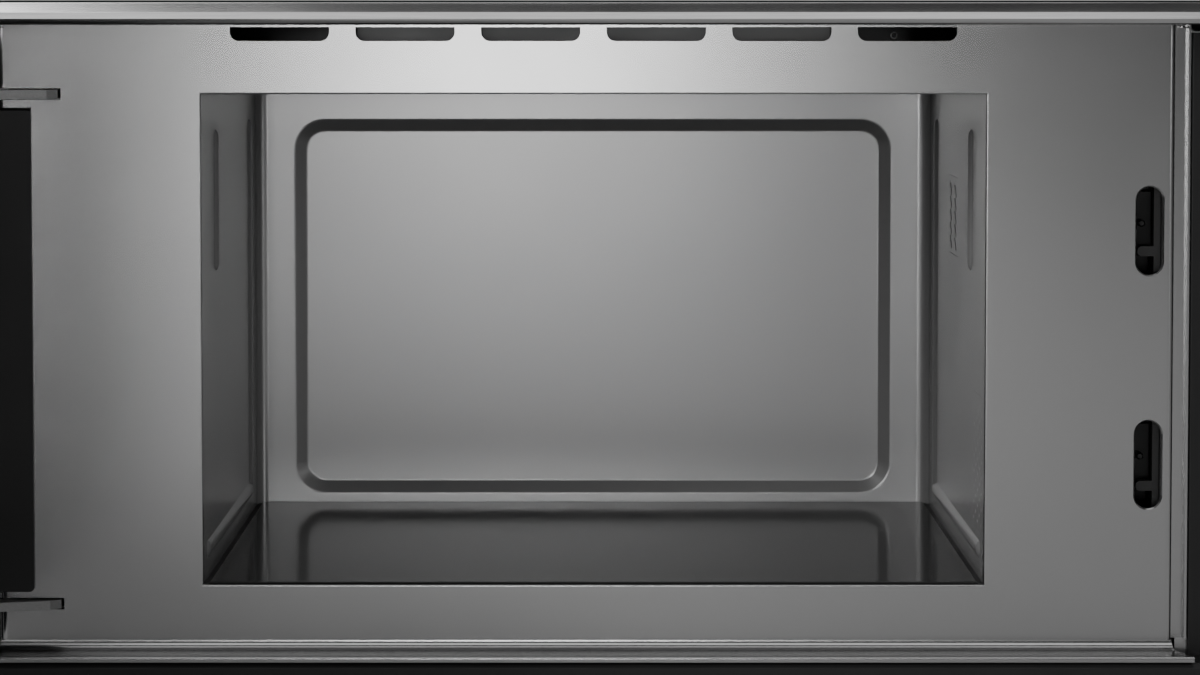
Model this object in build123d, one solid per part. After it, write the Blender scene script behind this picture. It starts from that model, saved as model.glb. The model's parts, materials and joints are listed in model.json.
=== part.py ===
"""Built-in microwave with a flat ceramic floor and a left-hinged door.

Model coordinates: X to the right with 0 in the middle of the cavity, D backwards
with 0 at the front of the steel face plate, Z up with 0 under the base plate.
The part's own frame has its origin in the middle of the base plate's underside, so
save() moves every piece forward by ORIGIN_DEPTH.

The door is modelled shut and then swung open about its hinge pins by REST_OPENING,
which is how the finished part stands.
"""
import os
from math import atan2, cos, degrees, radians, sin

from build123d import *

# Front of the appliance
FRONT_WIDTH = 594.0
FRONT_HEIGHT = 382.0
FRONT_DEPTH = 20.0
HALF_FRONT = FRONT_WIDTH / 2
SHEET = 1.0
LINER = 0.8
GLASS = 4.0
WALL = 2.0
CLEARANCE = 0.3
RUNNING = 0.05

# Case that goes into the cabinet
SIDE_OVERLAP = 19.0
TOP_OVERLAP = 22.0
BODY_DEPTH = 298.0
BODY_WIDTH = FRONT_WIDTH - 2 * SIDE_OVERLAP
BODY_HEIGHT = FRONT_HEIGHT - TOP_OVERLAP
HALF_BODY = BODY_WIDTH / 2
ORIGIN_DEPTH = BODY_DEPTH / 2
CASE_FRONT = 7.0
FLANGE = 16.0
BASE_LIP = 20.0
BASE_SIDE = 10.0
BASE_BEADS = (95.0, 130.0)
BASE_BEAD = (12.0, 30.0)
TOP_LIP = 12.0
TOP_FIELD_PITCH = 150.0
TOP_FIELD = 110.0
TOP_FIELD_MARGIN = 55.0
CASE_SLOT = 4.0
CASE_SLOT_PITCH = 14.0
CASE_SLOT_LENGTH = 45.0
CASE_SLOT_DROP = 25.0
SIDE_SLOTS = 6
REAR_SLOTS = 8
REAR_SLOTS_START = -60.0
GRILLE_SLOTS = 9
GRILLE_PITCH = 9.0
REAR_BEAD = (170.0, 120.0, 4.0)

# Control panel and the bar under it
CONTROL_HEIGHT = 82.0
BAR_HEIGHT = 10.2
BAR_TOP = FRONT_HEIGHT - CONTROL_HEIGHT
BAR_BOTTOM = BAR_TOP - BAR_HEIGHT

# Cavity, with the fan beside it
FAN_SIZE = 92.0
SIDE_SPACE = SIDE_OVERLAP + FAN_SIZE + 11.0
BACK_SPACE = 38.0
HEAD_SPACE = 41.0
CAVITY_WIDTH = FRONT_WIDTH - 2 * SIDE_SPACE
CAVITY_DEPTH = BODY_DEPTH - BACK_SPACE
CAVITY_TOP = BAR_TOP - HEAD_SPACE
HALF_CAVITY = CAVITY_WIDTH / 2
FLOOR_TOP = 40.0
CERAMIC = 4.0
PAN_TOP = FLOOR_TOP - CERAMIC
CAVITY_CORNER = 6.0
OPENING_BOTTOM = FLOOR_TOP - SHEET
LIP_DEPTH = 5.0
FLOOR_JOINT = 2.5
SEAL_HEIGHT = 3.3
RIB_WIDTH = 8.0
RIB_HEIGHT = 1.5
RIB_FRONT = 61.0
RIB_REAR = CAVITY_DEPTH - 39.0
RIB_TOP = CAVITY_TOP - 18.0
RIB_FRONT_LENGTH = 65.0
RIB_FRONT_BOTTOM = RIB_TOP - RIB_FRONT_LENGTH
RIB_REAR_BOTTOM = FLOOR_TOP + 12.0
RIB_FLOOR_FRONT = 20.0
PANEL_WIDTH = CAVITY_WIDTH - 40.0
PANEL_BOTTOM = FLOOR_TOP + 4.6
PANEL_TOP = CAVITY_TOP - 19.3
PANEL_CORNER = 15.7
PANEL_SLOPE = 6.0
PANEL_RECESS = 4.0
PANEL_EDGE = 1.6
CEILING_BEADS = (-95.0, 0.0, 95.0)
CEILING_BEAD = 10.0
CEILING_BEAD_MARGIN = 45.0

# Small screens in the right cavity wall
INLET_DEPTHS = (8.0, 45.0)
INLET_RISE = 22.0
INLET_HEIGHT = 57.0
INLET_BOTTOM = FLOOR_TOP + INLET_RISE
INLET_HEIGHTS = (INLET_BOTTOM, INLET_BOTTOM + INLET_HEIGHT)
INLET_HOLE = 0.9
INLET_COLUMNS = 5
INLET_ROWS = 8
LAMP_SCREEN = (41.0, 32.0)
LAMP_BEHIND = 100.0
LAMP_ABOVE = 46.0
LAMP_BACK = CAVITY_DEPTH - LAMP_BEHIND
LAMP_TOP = CAVITY_TOP - LAMP_ABOVE
LAMP_DEPTHS = (LAMP_BACK - LAMP_SCREEN[0], LAMP_BACK)
LAMP_HEIGHTS = (LAMP_TOP - LAMP_SCREEN[1], LAMP_TOP)
LOUVRE = (11.0, 2.4)
LOUVRE_ANGLE = 35.0
LOUVRE_COLUMNS = 2
LOUVRE_ROWS = 5
SCREEN_BORDER = 3.0
LAMP_BOX_DEPTH = 28.0
LAMP_BOX_MARGIN = 8.0
LAMP_R = 6.0

# Face plate
PLATE_LEFT = 31.0 - HALF_FRONT
PLATE_RIGHT = HALF_FRONT - 37.5
PLATE_TOP = BAR_TOP
PLATE_RETURN = 6.0
PLATE_EDGE = 3.0
SILL_TOP = 10.0
SILL_BEND = 4.0
SILL_FLARE = 7.0
SILL_HEM = 2.5
VENT_COUNT = 6
VENT_PITCH = (CAVITY_WIDTH - 14.6) / VENT_COUNT
VENT_WIDTH = VENT_PITCH - 11.7
VENT_BOTTOM = BAR_BOTTOM - 7.2
VENT_TOP = BAR_BOTTOM - 0.95
VENT_CORNER = 4.0
DUCT_LENGTH = 48.0
DUCT_DROP = 8.0
BAFFLE_DEPTH = 14.0
LATCH_X = PLATE_RIGHT - 11.2
LATCH_WIDTH = 11.8
LATCH_LENGTH = 39.4
LATCH_HEIGHTS = (FLOOR_TOP + 53.0, CAVITY_TOP - 61.1)
LATCH_RIM = 1.0
LATCH_RIM_DEPTH = 4.0

# Rails and trims beside the face plate
RAIL_GAP = 5.8
RAIL_BACK = PLATE_RETURN + SHEET
RAIL_BOTTOM = SILL_TOP + SILL_BEND
TRIM_INNER = HALF_FRONT - 30.0
TRIM_FRONT = 2.0
TRIM_SHEET = 1.5
DOOR_BOTTOM = 12.5
DOOR_TOP = BAR_BOTTOM - 3.3
TRIM_TOP = DOOR_TOP - 0.1
CABINET_SCREW_X = HALF_FRONT - 8.0
CABINET_SCREW_HEIGHTS = (60.0, DOOR_TOP - 56.5)
CABINET_SCREW_R = 2.25
LOWER_TRIM_TOP = 7.0
LOWER_TRIM_CHAMFER = 2.2
LOWER_TRIM_BAYS = 6

# Control ring and board
KNOB_Z = BAR_TOP + CONTROL_HEIGHT / 2
KNOB_HUB_R = 19.8
KNOB_FLANGE_R = 24.5
KNOB_LIP_R = 23.0
KNOB_RING_R = 31.0
KNOB_RING_HEIGHT = 6.5
KNOB_FLANGE = 2.0
LENS = 1.8
BOARD = 1.6
BOARD_WIDTH = 220.0
BOARD_HEIGHT = 48.0
BOARD_PARTS = (-70.0, -45.0, 48.0, 76.0)
BOARD_PART = (18.0, 5.0, 16.0)
SPACER_R = 3.0

# Hinges
PIN_R = 2.5
PIN_X = 10.0 - HALF_FRONT
PIN_D = -11.0
EYE_R = 4.6
ARM = 4.0
ARM_HEIGHTS = (28.4, DOOR_TOP - 29.5)
ARM_ROOT_X = 58.4 - HALF_FRONT
HINGE_LEG_WIDTH = 19.4
HINGE_SLOT_GAP = 0.6
KNUCKLE_GAP = 0.5
EAR = 8.0
HINGE_LEG = 16.0
COVER_LEFT = 22.0 - HALF_FRONT
COVER_RIGHT = 46.5 - HALF_FRONT
COVER_BOTTOM = 36.0
COVER_TOP = ARM_HEIGHTS[1] - 4.0
COVER_CORNER = 2.3
REST_OPENING = 90.0

# Door
DOOR_BACK = -3.0
STILE_INSET = 5.0
PAN_HALF = HALF_CAVITY + 38.0
PAN_RIM_TOP = 4.0
CHOKE_INNER_HALF = HALF_CAVITY + 13.0
CHOKE_BOTTOM = FLOOR_TOP - 10.0
CHOKE_TOP = CAVITY_TOP + 9.0
CHOKE_CORNER = 6.0
COVER_SHEET = 1.6
INNER_GLASS = 3.0
HOOK_X = LATCH_X
HOOK = 3.0
HOOK_HEIGHT = 8.0
HOOK_REACH = 22.0
HOOK_NOSE = 5.0
HOOK_NOSE_LENGTH = 6.0
HOOK_PLAY = 1.2
LATCH_TRAVEL = 4.0
LATCH_BAR_D = (-12.0, -6.0)
LATCH_BAR_OVER = (34.0, 30.0)
GUIDE_LENGTH = 8.0
HOOK_CENTRES = (LATCH_HEIGHTS[0] + 1.0, LATCH_HEIGHTS[1] + 2.1)

# Lock behind the latch slots
CARRIER_X = (PLATE_RIGHT - 21.5, PLATE_RIGHT + 2.5)
CARRIER_DEPTH = 43.0
CARRIER_HEIGHTS = (LATCH_HEIGHTS[0] - 31.0, LATCH_HEIGHTS[1] + 32.1)
LOCK_BAR_X = LATCH_X + 3.5
LOCK_BAR = 3.0
LOCK_BAR_D = (10.5, 15.5)
LOCK_TRAVEL = 4.0
LUG_HEIGHT = 4.5
LUG_REACH = 7.2
LOCK_GEARBOX = (26.0, 12.0)
LOCK_MOTOR = (10.0, 18.0)
SWITCH_FRONT = 30.0
SWITCH_WIDTH = 10.4
SWITCH_HEIGHT = 28.0
PLUNGER_R = 1.6
PLUNGER_TRAVEL = 1.5
PLUNGER_BORE_BACK = 42.0

# Microwave source
STIRRER_D = CAVITY_DEPTH / 2
WELL_R = 90.0
WELL_DEPTH = 10.0
WELL_BOTTOM = PAN_TOP - LINER - WELL_DEPTH
GUIDE_WIDTH = 80.0
GUIDE_HEIGHT = 13.2
GUIDE_BOTTOM = WELL_BOTTOM - GUIDE_HEIGHT
MOTOR_R = 24.0
MOTOR_HEIGHT = 10.4
MOTOR_BORE = 6.0
MOTOR_EAR = 8.0
SHAFT_R = 3.0
ANTENNA_R = 72.0
ANTENNA_SHEET = 1.2
ANTENNA_Z = 29.0
ANTENNA_SLOT = 14.0
ANTENNA_BITE = 24.0
TUBE_X = HALF_CAVITY + 37.0
GUIDE_END = TUBE_X + 20.0
GUIDE_START = -38.0
YOKE_WIDTH = 66.0
YOKE_LENGTH = 84.0
YOKE_HEIGHT = 66.0
YOKE_SHEET = 2.0
ANODE_R = 20.0
MAGNET = 9.0
FIN_COUNT = 5
FIN_SHEET = 0.8
DOME_R = 8.0
DOME_REACH = 11.0
FILTER_BOX = (58.0, 52.0, 26.0)
FILTER_PLUG = (12.0, 22.0, 14.0)

# Fan
FAN_LENGTH = 25.0
FAN_BEHIND = 81.0
FAN_FRONT = BODY_DEPTH - FAN_BEHIND - FAN_LENGTH
FAN_WALL = 3.0
FAN_TIP_GAP = 2.0
FAN_X = HALF_BODY - FAN_SIZE / 2 - 2 * FAN_WALL
FAN_BORE_R = FAN_SIZE / 2 - FAN_WALL
FAN_TIP_R = FAN_BORE_R - FAN_TIP_GAP
FAN_HUB_R = 15.0
FAN_CUP = 9.0
FAN_STRUT = 3.0
FAN_SCREW_R = 2.2
FAN_SHAFT_R = 2.0
FAN_BLADES = 7
FAN_PITCH = 38.0
FAN_CHORD = (17.0, 24.0)
FAN_BLADE = 1.4
AIR_WALL = 1.5

# Supply
CORE = (80.0, 50.0, 70.0)
CORE_X = 52.0 - HALF_BODY
CORE_D = BODY_DEPTH - 53.0
CORE_LEG = 26.0
CORE_FOOT = 4.0
COIL = 12.5
COIL_HEIGHT = 44.0
CAPACITOR = (32.0, 52.0, 84.0)
CAPACITOR_SIDE = 63.0
CAPACITOR_X = CAPACITOR_SIDE - HALF_BODY
CAPACITOR_D = STIRRER_D + 25.0
CAPACITOR_STRAP = 12.0
TAB = (0.8, 6.0, 9.0)
FILTER_BOARD = (130.0, 90.0)
FILTER_BOARD_X = 10.0 - HALF_CAVITY
FILTER_BOARD_BACK = BODY_DEPTH - 13.0
CHOKE_R = 11.0
CHOKE_HEIGHT = 28.0
FILTER_BLOCK = (28.0, 38.0, 22.0)
FILTER_CAP = (18.0, 14.0, 16.0)
TERMINAL = (42.0, 20.0, 18.0)
TERMINAL_GAP = 14.0
TERMINAL_WAYS = 3
GLAND_X = 53.0 - HALF_BODY
GLAND_Z = BODY_HEIGHT - 42.0
GLAND_BORE_R = 4.0
GLAND_R = 9.0
GLAND_NUT = 3.0
GLAND_LENGTH = 20.0
HARNESS_R = 4.0
HARNESS_BEND = 24.0

GLASS_BACK = GLASS - FRONT_DEPTH
REAR = BODY_DEPTH
REAR_INNER = BODY_DEPTH - SHEET
TOP_INNER = BODY_HEIGHT - SHEET


def save(shape, node):
    """Write one piece in the part's own frame."""
    export_step(Pos(0, -ORIGIN_DEPTH, 0) * shape, f"parts/{node}.step")


def block(x, d, z):
    """A box between two X, two depth and two Z values."""
    middle = Pos((x[0] + x[1]) / 2, (d[0] + d[1]) / 2, (z[0] + z[1]) / 2)
    return middle * Box(abs(x[1] - x[0]), abs(d[1] - d[0]), abs(z[1] - z[0]))


def rect(x, z, corner=0.0):
    """A rectangle between two values across and two values up."""
    size = (abs(x[1] - x[0]), abs(z[1] - z[0]))
    middle = Pos((x[0] + x[1]) / 2, (z[0] + z[1]) / 2)
    if corner:
        return middle * RectangleRounded(size[0], size[1], corner)
    return middle * Rectangle(size[0], size[1])


def front_plane(d):
    """The plane across the appliance at one depth, seen from the front."""
    return Plane((0, d, 0), x_dir=(1, 0, 0), z_dir=(0, -1, 0))


def upright(outline, d0, d1):
    """An outline in X and Z, made solid from one depth to another."""
    return extrude(front_plane(d0) * outline, amount=d0 - d1)


def crosswise(outline, x0, x1):
    """An outline in D and Z, made solid from one X to another."""
    return extrude(Plane.YZ.offset(x0) * outline, amount=x1 - x0)


def rising(outline, z0, z1):
    """An outline in X and D, made solid from one height to another."""
    return extrude(Plane.XY.offset(z0) * outline, amount=z1 - z0)


def polygon(points):
    """A face with straight sides."""
    return make_face(Polyline(*points, close=True))


def rod(r, x, d, z0, z1):
    """An upright cylinder."""
    return Pos(x, d, (z0 + z1) / 2) * Cylinder(r, z1 - z0)


def barrel(r, x, z, d0, d1):
    """A cylinder that lies front to back."""
    return Pos(x, (d0 + d1) / 2, z) * Rot(90, 0, 0) * Cylinder(r, d1 - d0)


def mirrored(shape):
    """The same piece on the other side of the cavity."""
    return mirror(shape, Plane.YZ)


def as_fitted(shape):
    """Swing a door piece, modelled shut, to the door's rest position."""
    axis = Axis((PIN_X, PIN_D, 0), (0, 0, 1))
    return shape.rotate(axis, -REST_OPENING)


def edges_at(shape, depth, inside):
    """The edges of a shape that lie at one depth, within a half width."""
    found = []
    for edge in shape.edges():
        box = edge.bounding_box()
        flat = abs(box.min.Y - depth) < 1e-4 and abs(box.max.Y - depth) < 1e-4
        if flat and inside(edge.center()):
            found.append(edge)
    return found


# Face plate and the parts beside it

def latch_outline(height, grow=0.0):
    """The rounded outline of one latch slot."""
    slot = SlotOverall(LATCH_LENGTH + 2 * grow, LATCH_WIDTH + 2 * grow)
    return Pos(LATCH_X, height) * Rot(0, 0, 90) * slot


def in_opening(point):
    """Whether a point lies in the cavity opening or on its rim."""
    return abs(point.X) <= HALF_CAVITY + RUNNING and SILL_TOP + 2 * SILL_BEND < point.Z <= CAVITY_TOP + RUNNING


def in_latch_slot(point):
    """Whether a point lies in a latch slot or on its rim."""
    return abs(point.X - LATCH_X) <= LATCH_WIDTH / 2 + RUNNING


def face_plate():
    """Front sheet: rolled sides, bent sill, cavity opening, vents and slots."""
    inner_left = PLATE_LEFT + SHEET
    inner_right = PLATE_RIGHT - SHEET
    outer = rect((PLATE_LEFT, PLATE_RIGHT), (0, 2 * PLATE_RETURN), PLATE_EDGE)
    inner = rect((inner_left, inner_right), (SHEET, 3 * PLATE_RETURN), PLATE_EDGE - SHEET)
    keep = rect((PLATE_LEFT, PLATE_RIGHT), (0, PLATE_RETURN))
    bend_top = SILL_TOP + SILL_BEND
    plate = rising((outer - inner) & keep, bend_top, PLATE_TOP)

    bend_centre = Pos(-SILL_BEND, bend_top)
    ring = bend_centre * (Circle(SILL_BEND + SHEET) - Circle(SILL_BEND))
    bend = ring & rect((-SILL_BEND, SHEET), (SILL_TOP - SHEET, bend_top))
    flat = rect((SHEET - FRONT_DEPTH, -SILL_BEND), (SILL_TOP - SHEET, SILL_TOP))
    nose_area = rect((-FRONT_DEPTH, SHEET - FRONT_DEPTH), (SILL_TOP - SHEET, SILL_TOP))
    nose = (Pos(SHEET - FRONT_DEPTH, SILL_TOP - SHEET) * Circle(SHEET)) & nose_area
    hem = rect((-FRONT_DEPTH, SHEET - FRONT_DEPTH), (SILL_TOP - SILL_HEM, SILL_TOP - SHEET))
    sill = crosswise(bend + flat + nose + hem, -HALF_FRONT, HALF_FRONT)
    plan = polygon([
        (PLATE_LEFT, SHEET), (PLATE_RIGHT, SHEET), (PLATE_RIGHT, 0),
        (PLATE_RIGHT + SILL_FLARE, -FRONT_DEPTH), (PLATE_LEFT - SILL_FLARE, -FRONT_DEPTH),
        (PLATE_LEFT, 0),
    ])
    plate += sill & rising(plan, 0, bend_top)

    opening = rect((-HALF_CAVITY, HALF_CAVITY), (OPENING_BOTTOM, CAVITY_TOP))
    lip = rect((-HALF_CAVITY - SHEET, HALF_CAVITY + SHEET), (OPENING_BOTTOM, CAVITY_TOP + SHEET))
    plate += upright(lip, 0, LIP_DEPTH)
    for height in LATCH_HEIGHTS:
        plate += upright(latch_outline(height, LATCH_RIM), 0, LATCH_RIM_DEPTH)
    plate -= upright(opening, -1, LIP_DEPTH + 1)
    for height in LATCH_HEIGHTS:
        plate -= upright(latch_outline(height), -1, LATCH_RIM_DEPTH + 1)

    rolled = edges_at(plate, 0, in_opening)
    plate = fillet(rolled, SHEET * 0.8)
    slots = edges_at(plate, 0, in_latch_slot)
    plate = chamfer(slots, SHEET * 0.6)

    for index in range(VENT_COUNT):
        x = (index - (VENT_COUNT - 1) / 2) * VENT_PITCH
        sides = (x - VENT_WIDTH / 2, x + VENT_WIDTH / 2)
        tall = rect(sides, (VENT_BOTTOM, VENT_TOP + 2 * VENT_CORNER), VENT_CORNER)
        vent = tall & rect(sides, (VENT_BOTTOM, VENT_TOP))
        plate -= upright(vent, -1, 2 * SHEET)
    for arm in ARM_HEIGHTS:
        heights = (arm - HINGE_SLOT_GAP, arm + ARM + HINGE_SLOT_GAP)
        right = ARM_ROOT_X + 2 * HINGE_SLOT_GAP
        plate -= block((PLATE_LEFT - 1, right), (-1, PLATE_RETURN + 1), heights)
    return plate


def front_rail_left():
    """Flat steel rail that carries the hinge brackets."""
    left = PLATE_LEFT - RAIL_GAP
    right = ARM_ROOT_X + 2.5 * SHEET
    rail = block((left, right), (PLATE_RETURN, RAIL_BACK), (RAIL_BOTTOM, PLATE_TOP))
    for arm in ARM_HEIGHTS:
        heights = (arm - HINGE_SLOT_GAP, arm + ARM + HINGE_SLOT_GAP)
        rail -= block((PLATE_LEFT, ARM_ROOT_X + SHEET), (0, CASE_FRONT + 1), heights)
    return rail


def front_rail_right():
    """Angled steel rail: its web is the strip in the recess beside the plate."""
    outer = PLATE_RIGHT + RAIL_GAP + SHEET
    heights = (RAIL_BOTTOM, PLATE_TOP)
    rail = block((PLATE_RIGHT - 2.5 * SHEET, outer), (PLATE_RETURN, RAIL_BACK), heights)
    rail += block((outer - SHEET, outer), (TRIM_FRONT - SHEET / 2, RAIL_BACK), heights)
    return rail


def side_trim(back):
    """Right-hand black trim: a leaf against the cabinet and a fold to the case."""
    leaf = rect((TRIM_INNER, HALF_FRONT), (TRIM_FRONT, TRIM_FRONT + TRIM_SHEET))
    fold = rect((TRIM_INNER, TRIM_INNER + TRIM_SHEET), (TRIM_FRONT, back))
    trim = rising(leaf + fold, SHEET, TRIM_TOP)
    front = [e for e in trim.edges() | Axis.Z if abs(e.center().Y - TRIM_FRONT) < 1e-4]
    return fillet(front, TRIM_SHEET * 0.5)


def side_trim_right():
    """Black trim on the latch side, with the two cabinet screw holes."""
    trim = side_trim(CASE_FRONT)
    for height in CABINET_SCREW_HEIGHTS:
        trim -= barrel(CABINET_SCREW_R, CABINET_SCREW_X, height, 0, 2 * CASE_FRONT)
    return trim


def side_trim_left():
    """Black trim on the hinge side."""
    return mirrored(side_trim(PLATE_RETURN))


def lower_trim():
    """Black moulding under the sill: an upturned channel with stiffening ribs."""
    cut = LOWER_TRIM_CHAMFER
    outer = polygon([
        (-FRONT_DEPTH, 0), (-FRONT_DEPTH, LOWER_TRIM_TOP - cut),
        (cut - FRONT_DEPTH, LOWER_TRIM_TOP), (SHEET, LOWER_TRIM_TOP), (SHEET, 0),
    ])
    inner = polygon([
        (WALL - FRONT_DEPTH, -1), (WALL - FRONT_DEPTH, LOWER_TRIM_TOP - cut - WALL / 2),
        (WALL + 1 - FRONT_DEPTH, LOWER_TRIM_TOP - WALL), (SHEET - WALL, LOWER_TRIM_TOP - WALL),
        (SHEET - WALL, -1),
    ])
    trim = crosswise(outer, -HALF_FRONT, HALF_FRONT)
    pitch = (FRONT_WIDTH - WALL) / LOWER_TRIM_BAYS
    for bay in range(LOWER_TRIM_BAYS):
        left = -HALF_FRONT + WALL + bay * pitch
        trim -= crosswise(inner, left, left + pitch - WALL)
    return trim


def top_bar():
    """Metal bar between the door and the control panel, open at the back."""
    back_of_nose = BAR_BOTTOM + 1.0
    outline = make_face([
        Line((0, BAR_TOP), (1.0 - FRONT_DEPTH, BAR_TOP)),
        Line((1.0 - FRONT_DEPTH, BAR_TOP), (0.4 - FRONT_DEPTH, BAR_TOP - 3.8)),
        ThreePointArc((0.4 - FRONT_DEPTH, BAR_TOP - 3.8), (0.1 - FRONT_DEPTH, BAR_TOP - 6.4),
                      (2.0 - FRONT_DEPTH, back_of_nose)),
        Line((2.0 - FRONT_DEPTH, back_of_nose), (3.2 - FRONT_DEPTH, BAR_BOTTOM)),
        Line((3.2 - FRONT_DEPTH, BAR_BOTTOM), (0, BAR_BOTTOM)),
        Line((0, BAR_BOTTOM), (0, BAR_TOP)),
    ])
    groove = rect((2.5 * WALL - FRONT_DEPTH, 1), (BAR_BOTTOM + WALL, BAR_TOP - WALL))
    return crosswise(outline - groove, CLEARANCE - HALF_FRONT, HALF_FRONT - CLEARANCE)


# Control panel

def control_glass():
    """White glass front of the control panel, with the hole for the ring's hub."""
    outline = rect((-HALF_FRONT, HALF_FRONT), (BAR_TOP + 2 * CLEARANCE, FRONT_HEIGHT), 1.5)
    hole = Pos(0, KNOB_Z) * Circle(KNOB_HUB_R + 0.2)
    glass = upright(outline - hole, -FRONT_DEPTH, GLASS_BACK)
    rim = edges_at(glass, -FRONT_DEPTH, lambda p: abs(p.X) > KNOB_RING_R or abs(p.Z - KNOB_Z) > KNOB_RING_R)
    return chamfer(rim, 0.6)


def control_carrier():
    """Plastic tray behind the control glass, stepped so that it enters the cabinet."""
    half = HALF_FRONT - STILE_INSET
    top = FRONT_HEIGHT - WALL
    wide_back = TRIM_FRONT + TRIM_SHEET
    inner_half = HALF_BODY - TRIM_SHEET
    inner_top = BODY_HEIGHT - TRIM_SHEET
    tray = block((-half, half), (GLASS_BACK, wide_back), (BAR_TOP, top))
    tray += block((-inner_half, inner_half), (wide_back, CASE_FRONT), (BAR_TOP, inner_top))
    tray -= block((WALL - half, half - WALL), (GLASS_BACK, wide_back - WALL), (BAR_TOP + WALL, top - WALL))
    hollow = (WALL - inner_half, inner_half - WALL)
    tray -= block(hollow, (wide_back - WALL, CASE_FRONT - WALL), (BAR_TOP + WALL, inner_top - WALL))
    for x in (0.6 * BOARD_WIDTH, 0.9 * BOARD_WIDTH):
        for side in (-1, 1):
            rib = (side * x - WALL / 2, side * x + WALL / 2)
            tray += block(rib, (GLASS_BACK, CASE_FRONT - WALL), (BAR_TOP + WALL, inner_top - WALL))
            tray += block(rib, (GLASS_BACK, wide_back - WALL), (inner_top - WALL, top - WALL))
    return tray


def control_board():
    """Circuit board on four spacers against the back of the carrier."""
    bottom = BAR_TOP + 3 * WALL
    heights = (bottom, bottom + BOARD_HEIGHT)
    back = SHEET + BOARD
    board = block((-BOARD_WIDTH / 2, BOARD_WIDTH / 2), (SHEET, back), heights)
    for x in (-1, 1):
        for z in (bottom + 6, bottom + BOARD_HEIGHT - 6):
            board += barrel(SPACER_R, x * (BOARD_WIDTH / 2 - 8), z, back, CASE_FRONT - WALL)
    wide, deep, high = BOARD_PART
    for x in BOARD_PARTS:
        middle = (KNOB_Z - high / 2, KNOB_Z + high / 2)
        board += block((x - wide / 2, x + wide / 2), (SHEET - deep, SHEET), middle)
    return board


def ring_base():
    """Fixed hub of the control ring: it clamps the glass and bears the ring."""
    hub = barrel(KNOB_HUB_R, 0, KNOB_Z, -FRONT_DEPTH - KNOB_FLANGE / 2, GLASS_BACK + WALL)
    flange = barrel(KNOB_FLANGE_R, 0, KNOB_Z, -FRONT_DEPTH - KNOB_FLANGE, -FRONT_DEPTH)
    stem = barrel(KNOB_HUB_R * 0.6, 0, KNOB_Z, GLASS_BACK, SHEET)
    return hub + flange + stem


def display_lens():
    """Round dark lens in the middle of the control ring."""
    front = -FRONT_DEPTH - KNOB_FLANGE
    lens = barrel(KNOB_LIP_R - 0.5, 0, KNOB_Z, front - LENS, front)
    return chamfer(edges_at(lens, front - LENS, lambda p: True), 0.5)


def control_ring():
    """Turning ring: it runs on the flange of the ring base."""
    back = -FRONT_DEPTH - CLEARANCE
    step = -FRONT_DEPTH - KNOB_FLANGE - CLEARANCE
    front = -FRONT_DEPTH - KNOB_RING_HEIGHT
    bore = KNOB_FLANGE_R + RUNNING
    profile = polygon([
        (bore, back), (KNOB_RING_R, back), (KNOB_RING_R, front + 1.8), (KNOB_RING_R - 1.2, front),
        (KNOB_LIP_R + 1.2, front), (KNOB_LIP_R, front + 1.2), (KNOB_LIP_R, step), (bore, step),
    ])
    return Pos(0, 0, KNOB_Z) * revolve(profile, Axis.Y)


# Case

def side_panel():
    """Right-hand case side with its front and rear flanges and air slots."""
    wall = rect((HALF_BODY - SHEET, HALF_BODY), (CASE_FRONT, REAR_INNER))
    front = rect((HALF_BODY - FLANGE, HALF_BODY), (CASE_FRONT, CASE_FRONT + SHEET))
    back = rect((HALF_BODY - FLANGE, HALF_BODY), (REAR_INNER - SHEET, REAR_INNER))
    panel = rising(wall + front + back, SHEET, TOP_INNER)
    high = BODY_HEIGHT - CASE_SLOT_DROP
    for index in range(SIDE_SLOTS):
        d = 0.55 * BODY_DEPTH + CASE_SLOT_PITCH * index
        x = (HALF_BODY - 2 * SHEET, HALF_BODY + SHEET)
        panel -= block(x, (d, d + CASE_SLOT), (high - CASE_SLOT_LENGTH, high))
    return panel


def top_panel():
    """Case top with a front flange and a pressed stiffening field."""
    panel = block((-HALF_BODY, HALF_BODY), (CASE_FRONT, REAR), (TOP_INNER, BODY_HEIGHT))
    lip = HALF_BODY - FLANGE - SHEET
    panel += block((-lip, lip), (CASE_FRONT, CASE_FRONT + SHEET), (TOP_INNER - TOP_LIP, TOP_INNER))
    for step in (-1, 0, 1):
        x = (step * TOP_FIELD_PITCH - TOP_FIELD / 2, step * TOP_FIELD_PITCH + TOP_FIELD / 2)
        d = (TOP_FIELD_MARGIN, BODY_DEPTH - TOP_FIELD_MARGIN)
        panel -= block(x, d, (BODY_HEIGHT - SHEET / 2, BODY_HEIGHT))
        panel += block((x[0] - SHEET, x[1] + SHEET), (d[0] - SHEET, d[1] + SHEET), (TOP_INNER - SHEET, TOP_INNER))
    return panel


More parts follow.
